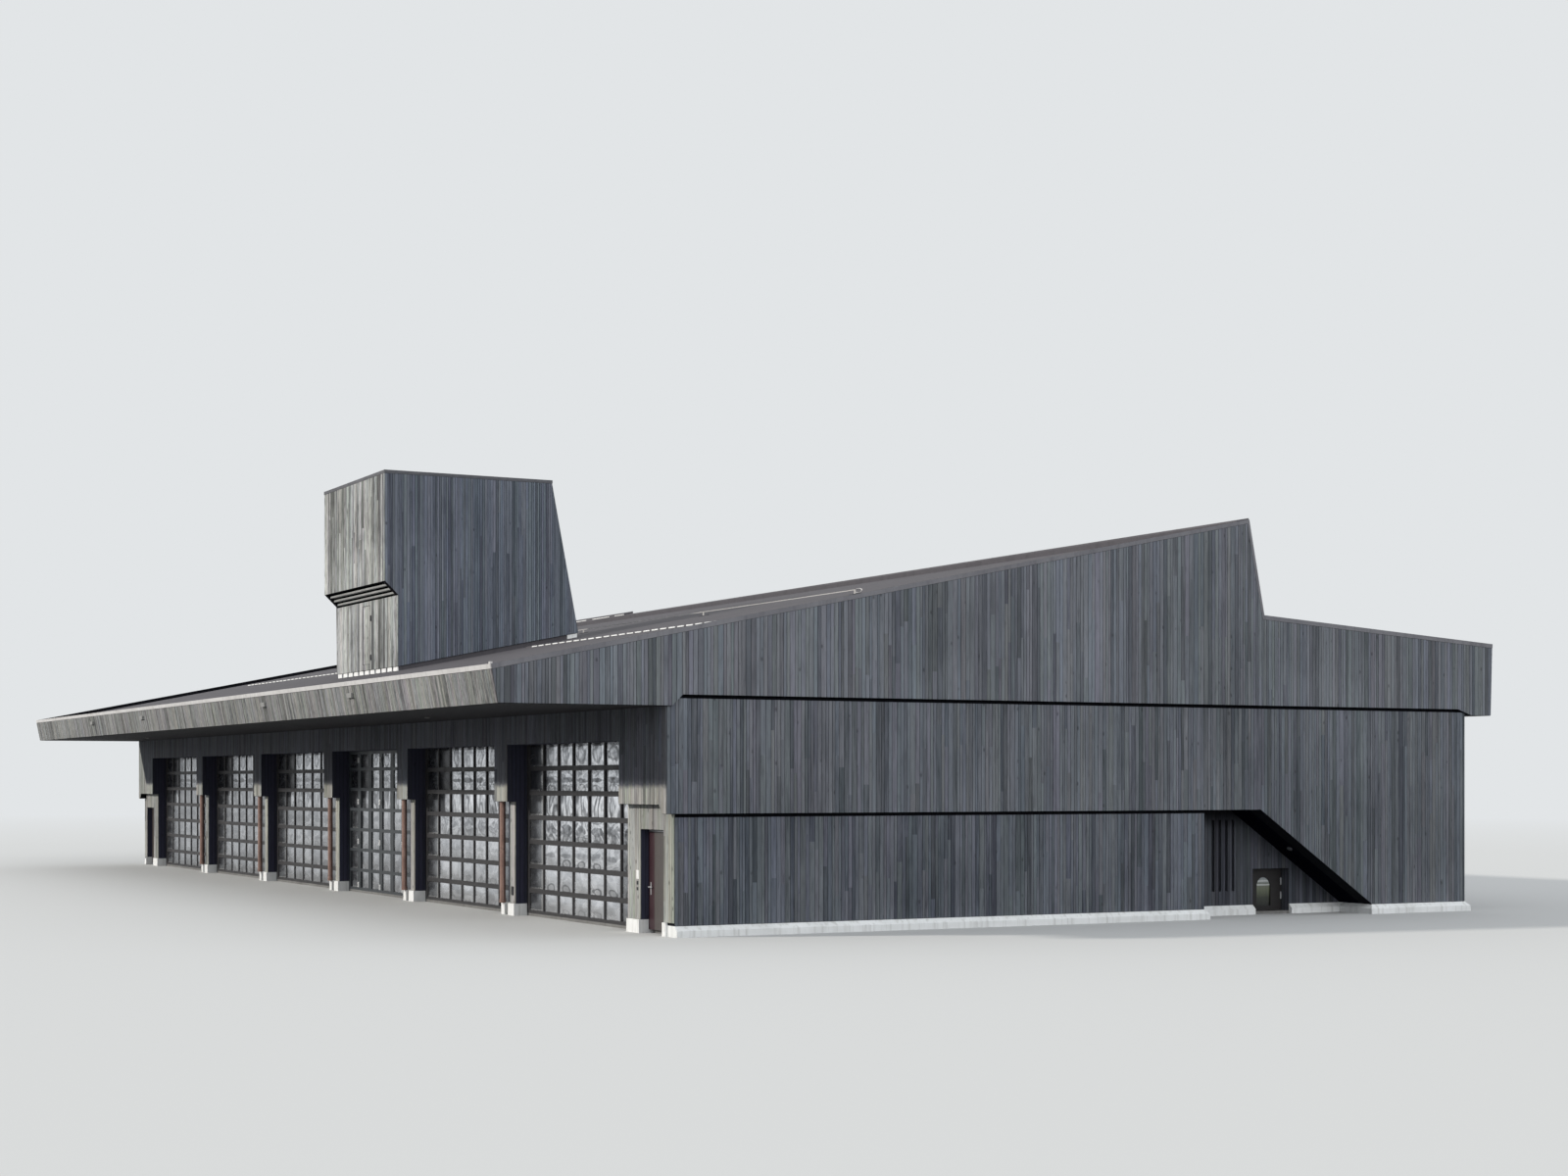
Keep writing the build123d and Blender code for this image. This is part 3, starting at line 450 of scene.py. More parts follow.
PAINTS = {
    # name: clean, clouds, streaks, roughness, metal, fineness of the stains
    "fair_concrete": ((236, 237, 236), (220, 221, 219), (182, 181, 176), 0.85),
    "white_paint": ((238, 238, 236), (224, 224, 222), (192, 191, 184), 0.55, 0, 2),
    "roof_skin": ((72, 69, 73), (80, 77, 81), (62, 60, 64), 0.85, 0, 0.6),
    "pale_zinc": ((208, 205, 203), (192, 189, 187), (168, 165, 162), 0.5, 0.2),
    "dark_zinc": ((116, 115, 119), (104, 103, 108), (88, 87, 92), 0.6, 0.1),
    "tower_cap": ((90, 90, 94), (82, 82, 86), (70, 70, 74), 0.85),
    "brown_copper": ((150, 120, 108), (122, 94, 84), (84, 64, 58), 0.35, 0.3, 3),
    "door_paint": ((35, 34, 36), (41, 39, 41), (27, 26, 28), 0.6, 0, 2),
    "niche_door_paint": ((19, 16, 17), (25, 21, 21), (13, 11, 12), 0.6, 0, 2),
    "folding_door_paint": ((42, 47, 51), (50, 55, 59), (33, 37, 40), 0.5, 0, 2),
    "ridge_metal": ((86, 83, 87), (78, 75, 80), (64, 62, 66), 0.6, 0.1),
    "louvre_slats": ((150, 151, 149), (132, 133, 131), (104, 105, 104), 0.7, 0, 3),
    "black_paint": ((30, 30, 33), (38, 38, 41), (22, 22, 25), 0.45, 0, 2),
    "brushed_metal": ((206, 207, 208), (184, 185, 186), (140, 140, 140), 0.35, 0.5, 6),
    "hall_floor": ((120, 119, 116), (100, 99, 97), (84, 82, 80), 0.6),
    "dark_glass": ((26, 28, 31), (36, 39, 42), (20, 22, 24), 0.16),
}
for name, values in PAINTS.items():
    plain_finish(name, *values)
print("finishes:", len(finishes))

# %% [markdown]
# ## Finishes that change along a piece
# Some pieces aren't one tone all over. The entry leaf has a dark painted shade at its reveal edge,
# its own maroon paint beside it and a grey painted reflection over the rest, the snow rail is
# painted while the safety cable above it is bare, and the little arched pane has a painted
# reflection that goes from a dark foot to a bright head. Cutting those solids up would break the
# frame, so the finish reads its own position and changes there.

# %% Banded finishes
def banded_finish(name, axis, low, high, rough, stops):
    """A finish whose colour follows one axis between two values, clouded a little."""
    tree, shader, place = start_finish(name)
    value = split(tree, place)[axis]
    made = use_group(tree, stains, {"Place": place, "Size": 2.0})
    if axis == 1:
        value = sums(tree, "ABSOLUTE", value)
    share = spread(tree, value, low, high)
    share = sums(tree, "MULTIPLY_ADD", made[0], 0.02, share)
    colour = ramp(tree, share, stops)
    darker = blend(tree, 1.0, colour, shade(188, 188, 188), "MULTIPLY")
    colour = blend(tree, times(tree, made[1], 0.48), colour, darker)
    roughness = spread(tree, made[0], 0, 1, rough - 0.06, rough + 0.08)
    plug_in(tree, shader, colour, roughness, made[2], 0.002)


LEAF_START, LEAF_END = FAR - 1.49, FAR - 0.52
METAL_END = FRONT + 10
PANE_FOOT, PANE_HEAD = 0.16, 0.8
# entry leaf: dark painted shade at the reveal edge, its maroon paint, then a grey painted
# reflection
leaf_shade_paint_reflection_tones = [(0.0, (38, 26, 30)), (0.03, (52, 31, 37)), (0.26, (56, 34, 39))]
leaf_shade_paint_reflection_tones += [(0.3, (78, 72, 69)), (1.0, (72, 66, 64))]
rail_tones = [(0.4, (84, 81, 84)), (0.6, (168, 165, 162))]
lamp_tones = [(0.0, (128, 127, 124)), (0.4, (120, 119, 116)), (0.6, (92, 94, 98))]
lamp_tones += [(1.0, (86, 88, 92))]
# the arched pane's tones are a painted reflection: dark foot, bright head and two glint lines
arched_reflection_tones = [(0.0, (24, 26, 24)), (0.3, (46, 50, 40)), (0.55, (92, 97, 76))]
arched_reflection_tones += [(0.7, (104, 108, 94)), (0.74, (196, 198, 196)), (0.78, (108, 112, 104))]
arched_reflection_tones += [(0.84, (140, 145, 142)), (0.87, (206, 208, 206)), (0.91, (150, 155, 155))]
arched_reflection_tones += [(1.0, (138, 144, 146))]
banded_finish("entry_leaf_paint_shade_reflection", 1, LEAF_START, LEAF_END, 0.4, leaf_shade_paint_reflection_tones)
banded_finish("rail_metal", 0, FRONT, METAL_END, 0.5, rail_tones)
banded_finish("lamp_metal", 0, FRONT, METAL_END, 0.5, lamp_tones)
banded_finish("arched_pane_painted_reflection", 2, PANE_FOOT, PANE_HEAD, 0.15, arched_reflection_tones)
print("with banded finishes:", len(finishes))

# %% [markdown]
# ## Finishes on the solids
# A solid keeps its mesh and place, and only its material slot is filled. The first finish with a
# word of the solid's name is taken. The walls' own faces only show through the joints between the
# boards, so they get the dark backing.

# %% Put finishes on the solids
FINISH_WORDS = {
    "hall_floor": "floor_slab",
    "fair_concrete": "plinth",
    "white_paint": "base_blocks tower_plates fold_hinges door_plate",
    "roof_skin": "main_roof low_roof ridge_wall tower_kerb",
    "pale_zinc": "eaves_trims",
    "ridge_metal": "ridge_cap ridge_vent",
    "rail_metal": "roof_rails",
    "tower_cap": "tower_roof",
    "dark_zinc": "verge_trims",
    "brown_copper": "downpipes",
    "folding_door_paint": "bay_door_3",
    "arched_pane_painted_reflection": "niche_door_glass",
    "dark_glass": "glass",
    "door_paint": "bay_door wall_hatch",
    "niche_door_paint": "niche_door",
    "entry_leaf_paint_shade_reflection": "entry_door",
    "brushed_metal": "handle",
    "lamp_metal": "outdoor_lamps",
    "louvre_slats": "tower_louvre",
    "dark_ceilings": "roof_soffits",
    "niche_lining": "niche_soffit niche_return",
    "niche_walls": "niche_back",
    "dark_reveals": "piers header entry_sides entry_heads",
}


def finish_of(name):
    """The first finish that has a word of a solid's name."""
    for finish, words in FINISH_WORDS.items():
        if any(word in name for word in words.split()):
            return finish
    return "wall_backing"


for name, solid in solids.items():
    solid.data.materials.clear()
    solid.data.materials.append(finishes[finish_of(name)])
print("dressed solids:", len(solids))

# %% [markdown]
# ## Boards on the walls
# The real cladding is upright boards of mixed widths with open joints. A bump map could draw them,
# but real boards catch light along their edges and end at a lap or a sloping roof edge. So each
# wall starts as one flat face with the wall's outline, cut by an upright plane at every joint.
# Each strip is shrunk a little, which opens the joints, and pushed out to its thickness. A long
# strip has two chances of a butt joint. Its number goes with it for the wood to read.

# %% Meshes and cuts
UP = Vector((0, 0, 1))


def made_mesh(name, bm):
    """A finished bmesh as a mesh."""
    mesh = bpy.data.meshes.new(name)
    bm.to_mesh(mesh)
    bm.free()
    return mesh


def new_piece(name, bm, finish, body="building"):
    """Turn a finished bmesh into an object that rides on a body."""
    piece = add_object(name, made_mesh(name, bm))
    piece.data.materials.append(finishes[finish])
    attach(piece, body)


def cut(bm, faces, point, normal):
    """Cut some faces along a plane."""
    edges = {edge for face in faces for edge in face.edges}
    corners = {corner for face in faces for corner in face.verts}
    geometry = [*corners, *edges, *faces]
    bmesh.ops.bisect_plane(bm, geom=geometry, dist=1e-5, plane_co=point, plane_no=normal)


def cut_hole(patch, run, sides, levels):
    """Take a rectangle out of a wall, for a hatch."""
    (low, high), (foot, top) = sides, levels
    for side in sides:
        cut(patch, patch.faces[:], run * side, run)
    for level in levels:
        inside = [f for f in patch.faces if low < f.calc_center_median().dot(run) < high]
        cut(patch, inside, UP * level, UP)
    middles = [(f, f.calc_center_median()) for f in patch.faces]
    gone = [f for f, middle in middles if low < middle.dot(run) < high and foot < middle.z < top]
    bmesh.ops.delete(patch, geom=gone, context="FACES")


print("cutters ready")

# %% Board maker
chance = random.Random(7)
BOARD_WIDTHS = (0.06, 0.07, 0.08, 0.09, 0.1, 0.12)
BOARD_THICK, JOINT = 0.016, 0.014
LONG_BOARD, JOINTED_SHARE = 1.8, 0.3


def add_boards(bm, outline, outward, holes=(), widths=BOARD_WIDTHS):
    """Boards side by side, filling a wall's flat outline and standing out of it."""
    patch = bmesh.new()
    number = patch.faces.layers.float.new("board")
    patch.faces.new([patch.verts.new(point) for point in outline])
    patch.normal_update()
    if patch.faces[:][0].normal.dot(outward) < 0:
        bmesh.ops.reverse_faces(patch, faces=patch.faces[:])
    run = Vector((1, 0, 0) if outward.y else (0, 1, 0))
    start = min(point.dot(run) for point in outline)
    end = max(point.dot(run) for point in outline)
    place = start + chance.choice(widths)
    while place < end - min(widths) / 2:
        patch.faces.ensure_lookup_table()
        last = [f for f in patch.faces if max(v.co.dot(run) for v in f.verts) > place]
        cut(patch, last, run * place, run)
        place += chance.choice(widths)
    for sides, levels in holes:
        cut_hole(patch, run, sides, levels)
    strips = patch.faces[:]
    rims = bmesh.ops.inset_individual(patch, faces=strips, thickness=JOINT / 2, depth=0)["faces"]
    bmesh.ops.delete(patch, geom=rims, context="FACES")
    for face in patch.faces[:] * 2:
        levels = [corner.co.z for corner in face.verts]
        length = max(levels) - min(levels)
        if length > LONG_BOARD and chance.random() < JOINTED_SHARE:
            cut(patch, [face], UP * (min(levels) + length * chance.uniform(0.15, 0.85)), UP)
    for face in patch.faces:
        face[number] = chance.random()
    backs = patch.faces[:]
    grown = bmesh.ops.extrude_face_region(patch, geom=backs, use_keep_orig=True)["geom"]
    moved = [item for item in grown if isinstance(item, bmesh.types.BMVert)]
    bmesh.ops.translate(patch, verts=moved, vec=outward * BOARD_THICK)
    bmesh.ops.recalc_face_normals(patch, faces=patch.faces[:])
    board_mesh = made_mesh("boards", patch)
    bm.from_mesh(board_mesh)
    bpy.data.meshes.remove(board_mesh)


def cladding(name, finish, walls):
    """One piece of boards over several walls."""
    bm = bmesh.new()
    bm.faces.layers.float.new("board")
    for outline, outward, *options in walls:
        add_boards(bm, outline, outward, **dict(*options))
    print(name, "has", len(bm.faces) // 6, "boards or more")
    new_piece(name, bm, finish)


TO_NEAR, TO_FAR = Vector((0, -1, 0)), Vector((0, 1, 0))
TO_FRONT, TO_REAR = Vector((-1, 0, 0)), Vector((1, 0, 0))
print("widths of boards:", BOARD_WIDTHS)

# %% [markdown]
# ## The gables
# Each gable wears three laps of boards, the upper ones over the lower. The top lap runs from the
# canopy's point to the ridge, and its boards end under the metal verge.

# %% Outlines of the gables
VERGE_INSET = 0.045
CANOPY_HEAD = (fascia_place(EAVES - TRIM), EAVES - TRIM)
REAR_HEAD = (21.197, REAR_EDGE.z - TRIM)
TOP_OUTLINE = [
    (-CANOPY_FOOT, SOFFIT),
    (0.09, SOFFIT),
    (0.31, HIGH_LAP),
    (DEPTH - 0.27, HIGH_LAP),
    (DEPTH + 0.14, REAR_FOOT.z),
    (REAR_FOOT.x, REAR_FOOT.z),
    REAR_HEAD,
    (VALLEY.x - VERGE_INSET, VALLEY.z - TRIM),
    (RIDGE.x - VERGE_INSET, RIDGE.z - TRIM),
    CANOPY_HEAD,
]
NICHE_START, NICHE_TURN, NICHE_END = 12.9, 14.4, 17.6
MIDDLE_HEAD, LOW_HEAD = HIGH_LAP - LAP_GAP, LOW_LAP - LAP_GAP
near_middle = [(0, LOW_LAP), (NICHE_TURN, LOW_LAP), (NICHE_END, PLINTH_TOP)]
near_middle += [(DEPTH, PLINTH_TOP), (DEPTH, MIDDLE_HEAD), (0, MIDDLE_HEAD)]
far_middle = [(0, LOW_LAP), (DEPTH, LOW_LAP), (DEPTH, MIDDLE_HEAD), (0, MIDDLE_HEAD)]
near_low, far_low = (
    [(FRONT_STEP, PLINTH_TOP), (end, PLINTH_TOP), (end, LOW_HEAD), (FRONT_STEP, LOW_HEAD)]
    for end in (NICHE_START, DEPTH)
)
print("corners of the top lap:", len(TOP_OUTLINE))


# %% Boards of the gables
def gable_wall(outline, y, outward):
    """A gable's outline at a Y, as a wall for the board maker."""
    return [spot(place, y, level) for place, level in outline], outward


near_side = ("near", NEAR, TO_NEAR, (TOP_OUTLINE, near_middle, near_low))
far_side = ("far", FAR, TO_FAR, (TOP_OUTLINE, far_middle, far_low))
for side, face, outward, outlines in (near_side, far_side):
    for step, lap in enumerate(("top", "middle", "low")):
        wall = gable_wall(outlines[step], face - outward.y * step * SKIN, outward)
        cladding(f"{side}_{lap}_boards", f"gable_{lap}_boards", [wall])

# %% [markdown]
# ## The rear wall and both fascias
# The long sides carry the same boards. The fascias lean outwards, so their outlines lean too, and
# the boards are pushed out square to that slope.

# %% Boards of the long sides
rear_y = FAR - 2 * SKIN
rear_corners = [(NEAR + SKIN, PLINTH_TOP), (rear_y, PLINTH_TOP), (rear_y, LOW_LAP)]
rear_corners += [(FAR - SKIN, LOW_LAP), (FAR - SKIN, REAR_FOOT.z), (NEAR + SKIN, REAR_FOOT.z)]
rear_outline = [spot(DEPTH, y, level) for y, level in rear_corners]
cladding("rear_boards", "gable_low_boards", [(rear_outline, TO_REAR)])


def leaning_wall(foot, head, start, end, side):
    """A leaning band between a foot line and a head line, each a (place, level)."""
    rise = Vector((head[0] - foot[0], 0, head[1] - foot[1])).normalized()
    outward = Vector((rise.z, 0, -rise.x)) * side
    outline = [spot(foot[0], start, foot[1]), spot(foot[0], end, foot[1])]
    outline += [spot(head[0], end, head[1]), spot(head[0], start, head[1])]
    return outline, outward


front_band = leaning_wall(TOP_OUTLINE[0], CANOPY_HEAD, NEAR, FAR, -1)
rear_band = leaning_wall((REAR_FOOT.x, REAR_FOOT.z), REAR_HEAD, NEAR, FAR, 1)
cladding("canopy_boards", "canopy_boards", [front_band])
cladding("rear_fascia_boards", "gable_top_boards", [rear_band])

# %% [markdown]
# ## The front
# Between the bays the upper boards hang over the recessed piers below. Half of each lower pier is a
# slot for the downpipe, so boards cover only the other part. Towards the corners the upper boards
# end on a slant, and the lower ones fill the wedge under it.

# %% Boards of the front
DOOR_TUCK = 0.06
STRIP = 0.28
SLANT_START, SLANT_END = 0.22, 0.34
LEAF_GAP = 0.01
doors = [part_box(f"bay_door_{bay}") for bay in range(1, 7)]
bays = [(low.y + DOOR_TUCK, high.y - DOOR_TUCK) for low, high in doors]
piers = [(near_bay[1], far_bay[0]) for near_bay, far_bay in zip(bays, bays[1:])]


def front_panel(place, y_range, levels):
    """An upright rectangle of the front."""
    (low, high), (foot, top) = y_range, levels
    corners = ((low, foot), (high, foot), (high, top), (low, top))
    return [spot(place, *corner) for corner in corners], TO_FRONT


def corner_panel(corner, inward, bay_edge):
    """The end of the front's upper boards, with the slanted foot at the corner."""
    steps = [(SKIN, LOW_LAP), (SLANT_START, LOW_LAP), (SLANT_END, FRONT_LAP)]
    outline = [spot(0, corner + inward * offset, level) for offset, level in steps]
    outline += [spot(0, bay_edge, FRONT_LAP), spot(0, bay_edge, SOFFIT)]
    outline += [spot(0, corner + inward * SKIN, SOFFIT)]
    return outline, TO_FRONT


upper_walls = [corner_panel(NEAR, 1, bays[0][0]), corner_panel(FAR, -1, bays[-1][1])]
upper_walls += [front_panel(0, pier, (FRONT_LAP, SOFFIT)) for pier in piers]
upper_walls += [front_panel(0, bay, (BAY_HEAD, SOFFIT)) for bay in bays]
cladding("front_upper_boards", "front_boards", upper_walls)

leaves = [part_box("near_entry_door"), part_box("far_entry_door")]
near_entry, far_entry = [(low.y - LEAF_GAP, high.y + LEAF_GAP) for low, high in leaves]
ENTRY_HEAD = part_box("entry_heads")[0].z
tall = (BLOCK_TOP, FRONT_LAP)
over_door = (ENTRY_HEAD, FRONT_LAP)
under_slant = (BLOCK_TOP, LOW_LAP)
lower_bands = [((start, start + STRIP), tall) for start, end in piers]
lower_bands += [
    ((near_entry[1], bays[0][0]), tall),
    (near_entry, over_door),
    ((NEAR + SLANT_END, near_entry[0]), tall),
    ((NEAR + 2 * SKIN, NEAR + SLANT_END), under_slant),
    ((bays[-1][1], far_entry[0]), tall),
    (far_entry, over_door),
    ((far_entry[1], FAR - SLANT_END), tall),
    ((FAR - SLANT_END, FAR - 2 * SKIN), under_slant),
]
lower_walls = [front_panel(FRONT_STEP, sides, levels) for sides, levels in lower_bands]
cladding("front_lower_boards", "front_boards", lower_walls)

# %% [markdown]
# ## Hose tower
# Hoses hang in the tower to dry, and a louvred belt lets air in where its front steps back. That
# front looks to the weather side: its glaze is worn and the grain stands out, and its much paler
# tone is partly painted sunlight. The hatch has an open joint all round, so the front's boards
# leave a hole for it and it gets its own.

# %% Boards of the tower
TOWER_LOW, TOWER_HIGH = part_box("tower_sides")
TOWER_NEAR, TOWER_FAR, TOWER_TOP = TOWER_LOW.y, TOWER_HIGH.y, TOWER_HIGH.z
TOWER_FRONT = TOWER_LOW.x - FRONT
LOW_FRONT, BELT_FOOT, BELT_TOP = 0.015, 7.495, 7.825
BACK_FOOT, BACK_HEAD = (4.905, 6.706), (4.165, TOWER_TOP)
side_outline = [
    (LOW_FRONT, roof_edge(LOW_FRONT)),
    BACK_FOOT,
    BACK_HEAD,
    (TOWER_FRONT, TOWER_TOP),
    (TOWER_FRONT, BELT_TOP),
    (LOW_FRONT, BELT_FOOT),
]
sides = ((TOWER_NEAR, TO_NEAR), (TOWER_FAR, TO_FAR))
narrow = {"widths": (0.05, 0.055, 0.06, 0.07, 0.08)}
side_walls = [(*gable_wall(side_outline, y, outward), narrow) for y, outward in sides]
cladding("tower_side_boards", "tower_side_boards", side_walls)
hatch_low, hatch_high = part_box("tower_hatch")
hatch_hole = ((hatch_low.y, hatch_high.y), (hatch_low.z, hatch_high.z))
width = (TOWER_NEAR, TOWER_FAR)
low_front = front_panel(LOW_FRONT, width, (roof_edge(LOW_FRONT), BELT_FOOT))
high_front = front_panel(TOWER_FRONT, width, (BELT_TOP, TOWER_TOP))
front_walls = [(*low_front, {"holes": [hatch_hole]}), high_front]
cladding("tower_front_boards", "tower_front_boards", front_walls)
hatch_panel = front_panel(hatch_low.x - FRONT, *hatch_hole)
cladding("hatch_boards", "tower_front_boards", [hatch_panel])
back_wall = leaning_wall(BACK_FOOT, BACK_HEAD, TOWER_NEAR, TOWER_FAR, 1)
cladding("tower_back_boards", "tower_side_boards", [back_wall])

# %% [markdown]
# ## Door panes
# Each vehicle door carries rows of plastic panes that bulge a little and bend the reflection of
# the bright yard, each in its own way: rings, streaks, a dark blot, and a plain sheen in the low
# rows. Flat glass would look like a window, and a mirror without the yard would be empty. So each
# pane is a small grid pushed out in the middle, and its finish paints that reflection into its
# colour from numbers the pane carries, such as the strength of its curls, its tone, its blot and
# how far a painted shade reaches in from the far edge. In the upper rows of the far bays the two
# far columns are painted in shade, and a painted glint lines the lit panes of the far column. The
# bays further off look calmer, so their panes bulge and curl less.

# %% Pane maker
PANE_STEPS, ROWS = 6, 7
PANE_LABELS = "seed curls stretch tone blot ring wide tall shadow arch glint".split()


def add_pane(bm, low, high, place, swell, numbers):
    """A bulging pane between two corners, each a (Y, level)."""
    layers = [bm.faces.layers.float.get(label) for label in PANE_LABELS]
    uv = bm.loops.layers.uv.verify()
    made = bmesh.ops.create_grid(bm, x_segments=PANE_STEPS, y_segments=PANE_STEPS, size=1)["verts"]
    faces = list({face for corner in made for face in corner.link_faces})
    for face in faces:
        for layer, value in zip(layers, numbers):
            face[layer] = value
        for loop in face.loops:
            loop[uv].uv = (loop.vert.co.x / 2 + 0.5, loop.vert.co.y / 2 + 0.5)
    width, height = high[0] - low[0], high[1] - low[1]
    for corner in made:
        across, up = corner.co.x, corner.co.y
        bulge = swell * (1 - across**2) * (1 - up**2)
        y = low[0] + width * (across + 1) / 2
        corner.co = spot(place - bulge, y, low[1] + height * (up + 1) / 2)
    bmesh.ops.recalc_face_normals(bm, faces=faces)
    if faces[0].normal.x > 0:
        bmesh.ops.reverse_faces(bm, faces=faces)


print("a pane carries", len(PANE_LABELS), "numbers")

# %% Numbers of the panes
ROW_LOOKS = [
    # curls, stretch, tone, blot, ring, wide, tall, shadow, arch
    (0.03, 1.0, 0.67, 0.0, 0.0, 0.5, 0.5, 0.00, 0.3),
    (0.05, 1.0, 0.69, 0.0, 0.0, 0.5, 0.5, 0.00, 0.8),
    (0.14, 0.8, 0.68, 0.3, 0.2, 0.34, 0.14, 0.04, 0.9),
    (0.36, 0.9, 0.62, 0.5, 0.5, 0.30, 0.20, 0.10, 0.5),
    (0.60, 0.3, 0.56, 0.1, 0.1, 0.2, 0.4, 0.14, 0.0),
    (0.34, 1.0, 0.68, 0.8, 0.3, 0.42, 0.15, 0.16, 0.7),
    (0.24, 0.6, 0.74, 0.25, 0.7, 0.24, 0.36, 0.12, 0.0),
]


def pane_numbers(bay, row, column, columns, folding):
    """The numbers of a pane. Rows count upwards and columns from the near side."""
    seed = chance.random()
    # rows in the light; in the upper rows of the far bays the two far columns get painted shade
    lit = row < (ROWS if bay == 0 else 4)
    if column == columns - 1:
        tone = 0.33 - 0.012 * row if lit else 0.15
        return (seed, 0.0, 1.0, tone, 0, 0, 0.5, 0.5, 0, 0, 0.5 * lit)
    if column == columns - 2 and not lit:
        return (seed, 0.2, 0.6, 0.5, 0, 0, 0.5, 0.5, 0.55 if row == 4 else 1.1, 0, 0)
    curls, stretch, tone, blot, ring, wide, tall, shadow, arch = ROW_LOOKS[row]
    if folding and row < 4:
        curls, blot, ring, tone = 0.04, 0.3 * (row == 3), 0, 0.62
    tone -= 0.3 if column == 0 else 0.05
    tone += chance.uniform(-0.05, 0.05) - 0.036 * bay
    curls *= 1 - 0.16 * bay
    if bay > 0 and row < 4:
        curls, ring, blot, arch = 0.6 * curls, 0.35 * ring, 0.4 * blot, 0.3 * arch
    wide, tall = wide * chance.uniform(0.8, 1.2), tall * chance.uniform(0.8, 1.2)
    blot, ring = blot * chance.uniform(0.5, 1.1), ring * chance.uniform(0.4, 1.1)
    return (seed, curls, stretch, tone, blot, ring, wide, tall, shadow, arch * (seed > 0.35), 0)


print("looks for", len(ROW_LOOKS), "rows")

# %% Finish of the panes
# the panes' base colour is a painted reflection of the yard, over a real metallic sheen
tree, shader = start_finish("wavy_panes_painted_reflection", Metallic=0.85)[:2]
seed, curls, stretch, tone, blot, ring, wide, tall, shadow, arch, glint = (
    wire(tree, "Attribute", attribute_name=label).outputs["Fac"] for label in PANE_LABELS
)
across, up = split(tree, wire(tree, "UVMap").outputs[0])[:2]
shift = times(tree, seed, 40.0)
upwards = times(tree, up, stretch)
where = wire(tree, "CombineXYZ", {0: across, 1: upwards, 2: shift}).outputs[0]
lumps = noise(tree, where, 1.5, 1.2, 0.4, 1.2)
specks = noise(tree, where, 5.0, 2, 0.55, 0.8)
rings = spread(tree, sums(tree, "SINE", times(tree, lumps, 24.0)), -0.9, 0.2)
rings = sums(tree, "MULTIPLY_ADD", rings, 0.62, spread(tree, specks, 0.36, 0.6, -0.12, 0.42))
smooth = sums(tree, "MULTIPLY_ADD", spread(tree, lumps, 0.3, 0.7, -0.5, 0.5), 0.12, tone)
look = wire(tree, "Mix", {0: curls, 2: smooth, 3: rings}, data_type="FLOAT").outputs[0]


def oval(middle_across, middle_up, half_width, half_height):
    """Distance from a point of the pane, 1 on an oval round it, shaken by the lumps."""
    sideways = sums(tree, "DIVIDE", minus(tree, across, middle_across), half_width)
    upwards = sums(tree, "DIVIDE", minus(tree, up, middle_up), half_height)
    vector = wire(tree, "CombineXYZ", {0: sideways, 1: upwards, 2: 0.0}).outputs[0]
    length = wire(tree, "VectorMath", {0: vector}, operation="LENGTH").outputs["Value"]
    return sums(tree, "ADD", length, spread(tree, lumps, 0.3, 0.7, -0.35, 0.35))


def loop_of(distance, half_thick):
    """A soft line where a distance is 1."""
    away = sums(tree, "ABSOLUTE", minus(tree, distance, 1.0))
    return spread(tree, away, half_thick, half_thick * 0.4)


# blot, rings, rim and arch are shapes in the painted reflection
middle_oval = oval(0.5, 0.52, wide, tall)
dark = times(tree, spread(tree, middle_oval, 1.15, 0.75), blot)
dark = sums(tree, "MAXIMUM", dark, times(tree, loop_of(middle_oval, 0.3), ring))
arc = times(tree, loop_of(oval(0.5, 0.12, 0.24, 0.17), 0.28), arch)
dark = sums(tree, "MAXIMUM", dark, times(tree, arc, 0.6))
outer_oval = oval(0.5, 0.52, sums(tree, "ADD", wide, 0.16), tall)
bright_rim = times(tree, loop_of(outer_oval, 0.3), blot)
# painted shade reaching in from the pane's far edge
edge_start = minus(tree, 1.0, shadow)
reach = minus(tree, sums(tree, "MULTIPLY_ADD", specks, 0.08, across), edge_start)
shaded = spread(tree, reach, -0.02, 0.08)
look = sums(tree, "MULTIPLY_ADD", bright_rim, 0.14, look)
look = sums(tree, "MULTIPLY_ADD", dark, -0.5, look)
colours = [(0.0, (22, 25, 29)), (0.45, (148, 150, 154)), (0.8, (240, 242, 246))]
picture = blend(tree, shaded, ramp(tree, look, colours), shade(30, 31, 36))
# painted glint along the foot and the near edge of the far column's lit panes
painted_glint_foot = times(tree, spread(tree, up, 0.09, 0.05), glint)
picture = blend(tree, painted_glint_foot, picture, shade(236, 236, 234))
side = times(tree, spread(tree, across, 0.16, 0.1), glint)
picture = blend(tree, side, picture, shade(214, 214, 212))
plug_in(tree, shader, picture, spread(tree, lumps, 0.3, 0.7, 0.2, 0.3))
print("pane finish has", len(tree.nodes), "nodes")

# %% Panes of the six doors
SECTION = BAY_HEAD / ROWS
PANE_PLACE, LOWEST_PANE = 0.482, 0.13
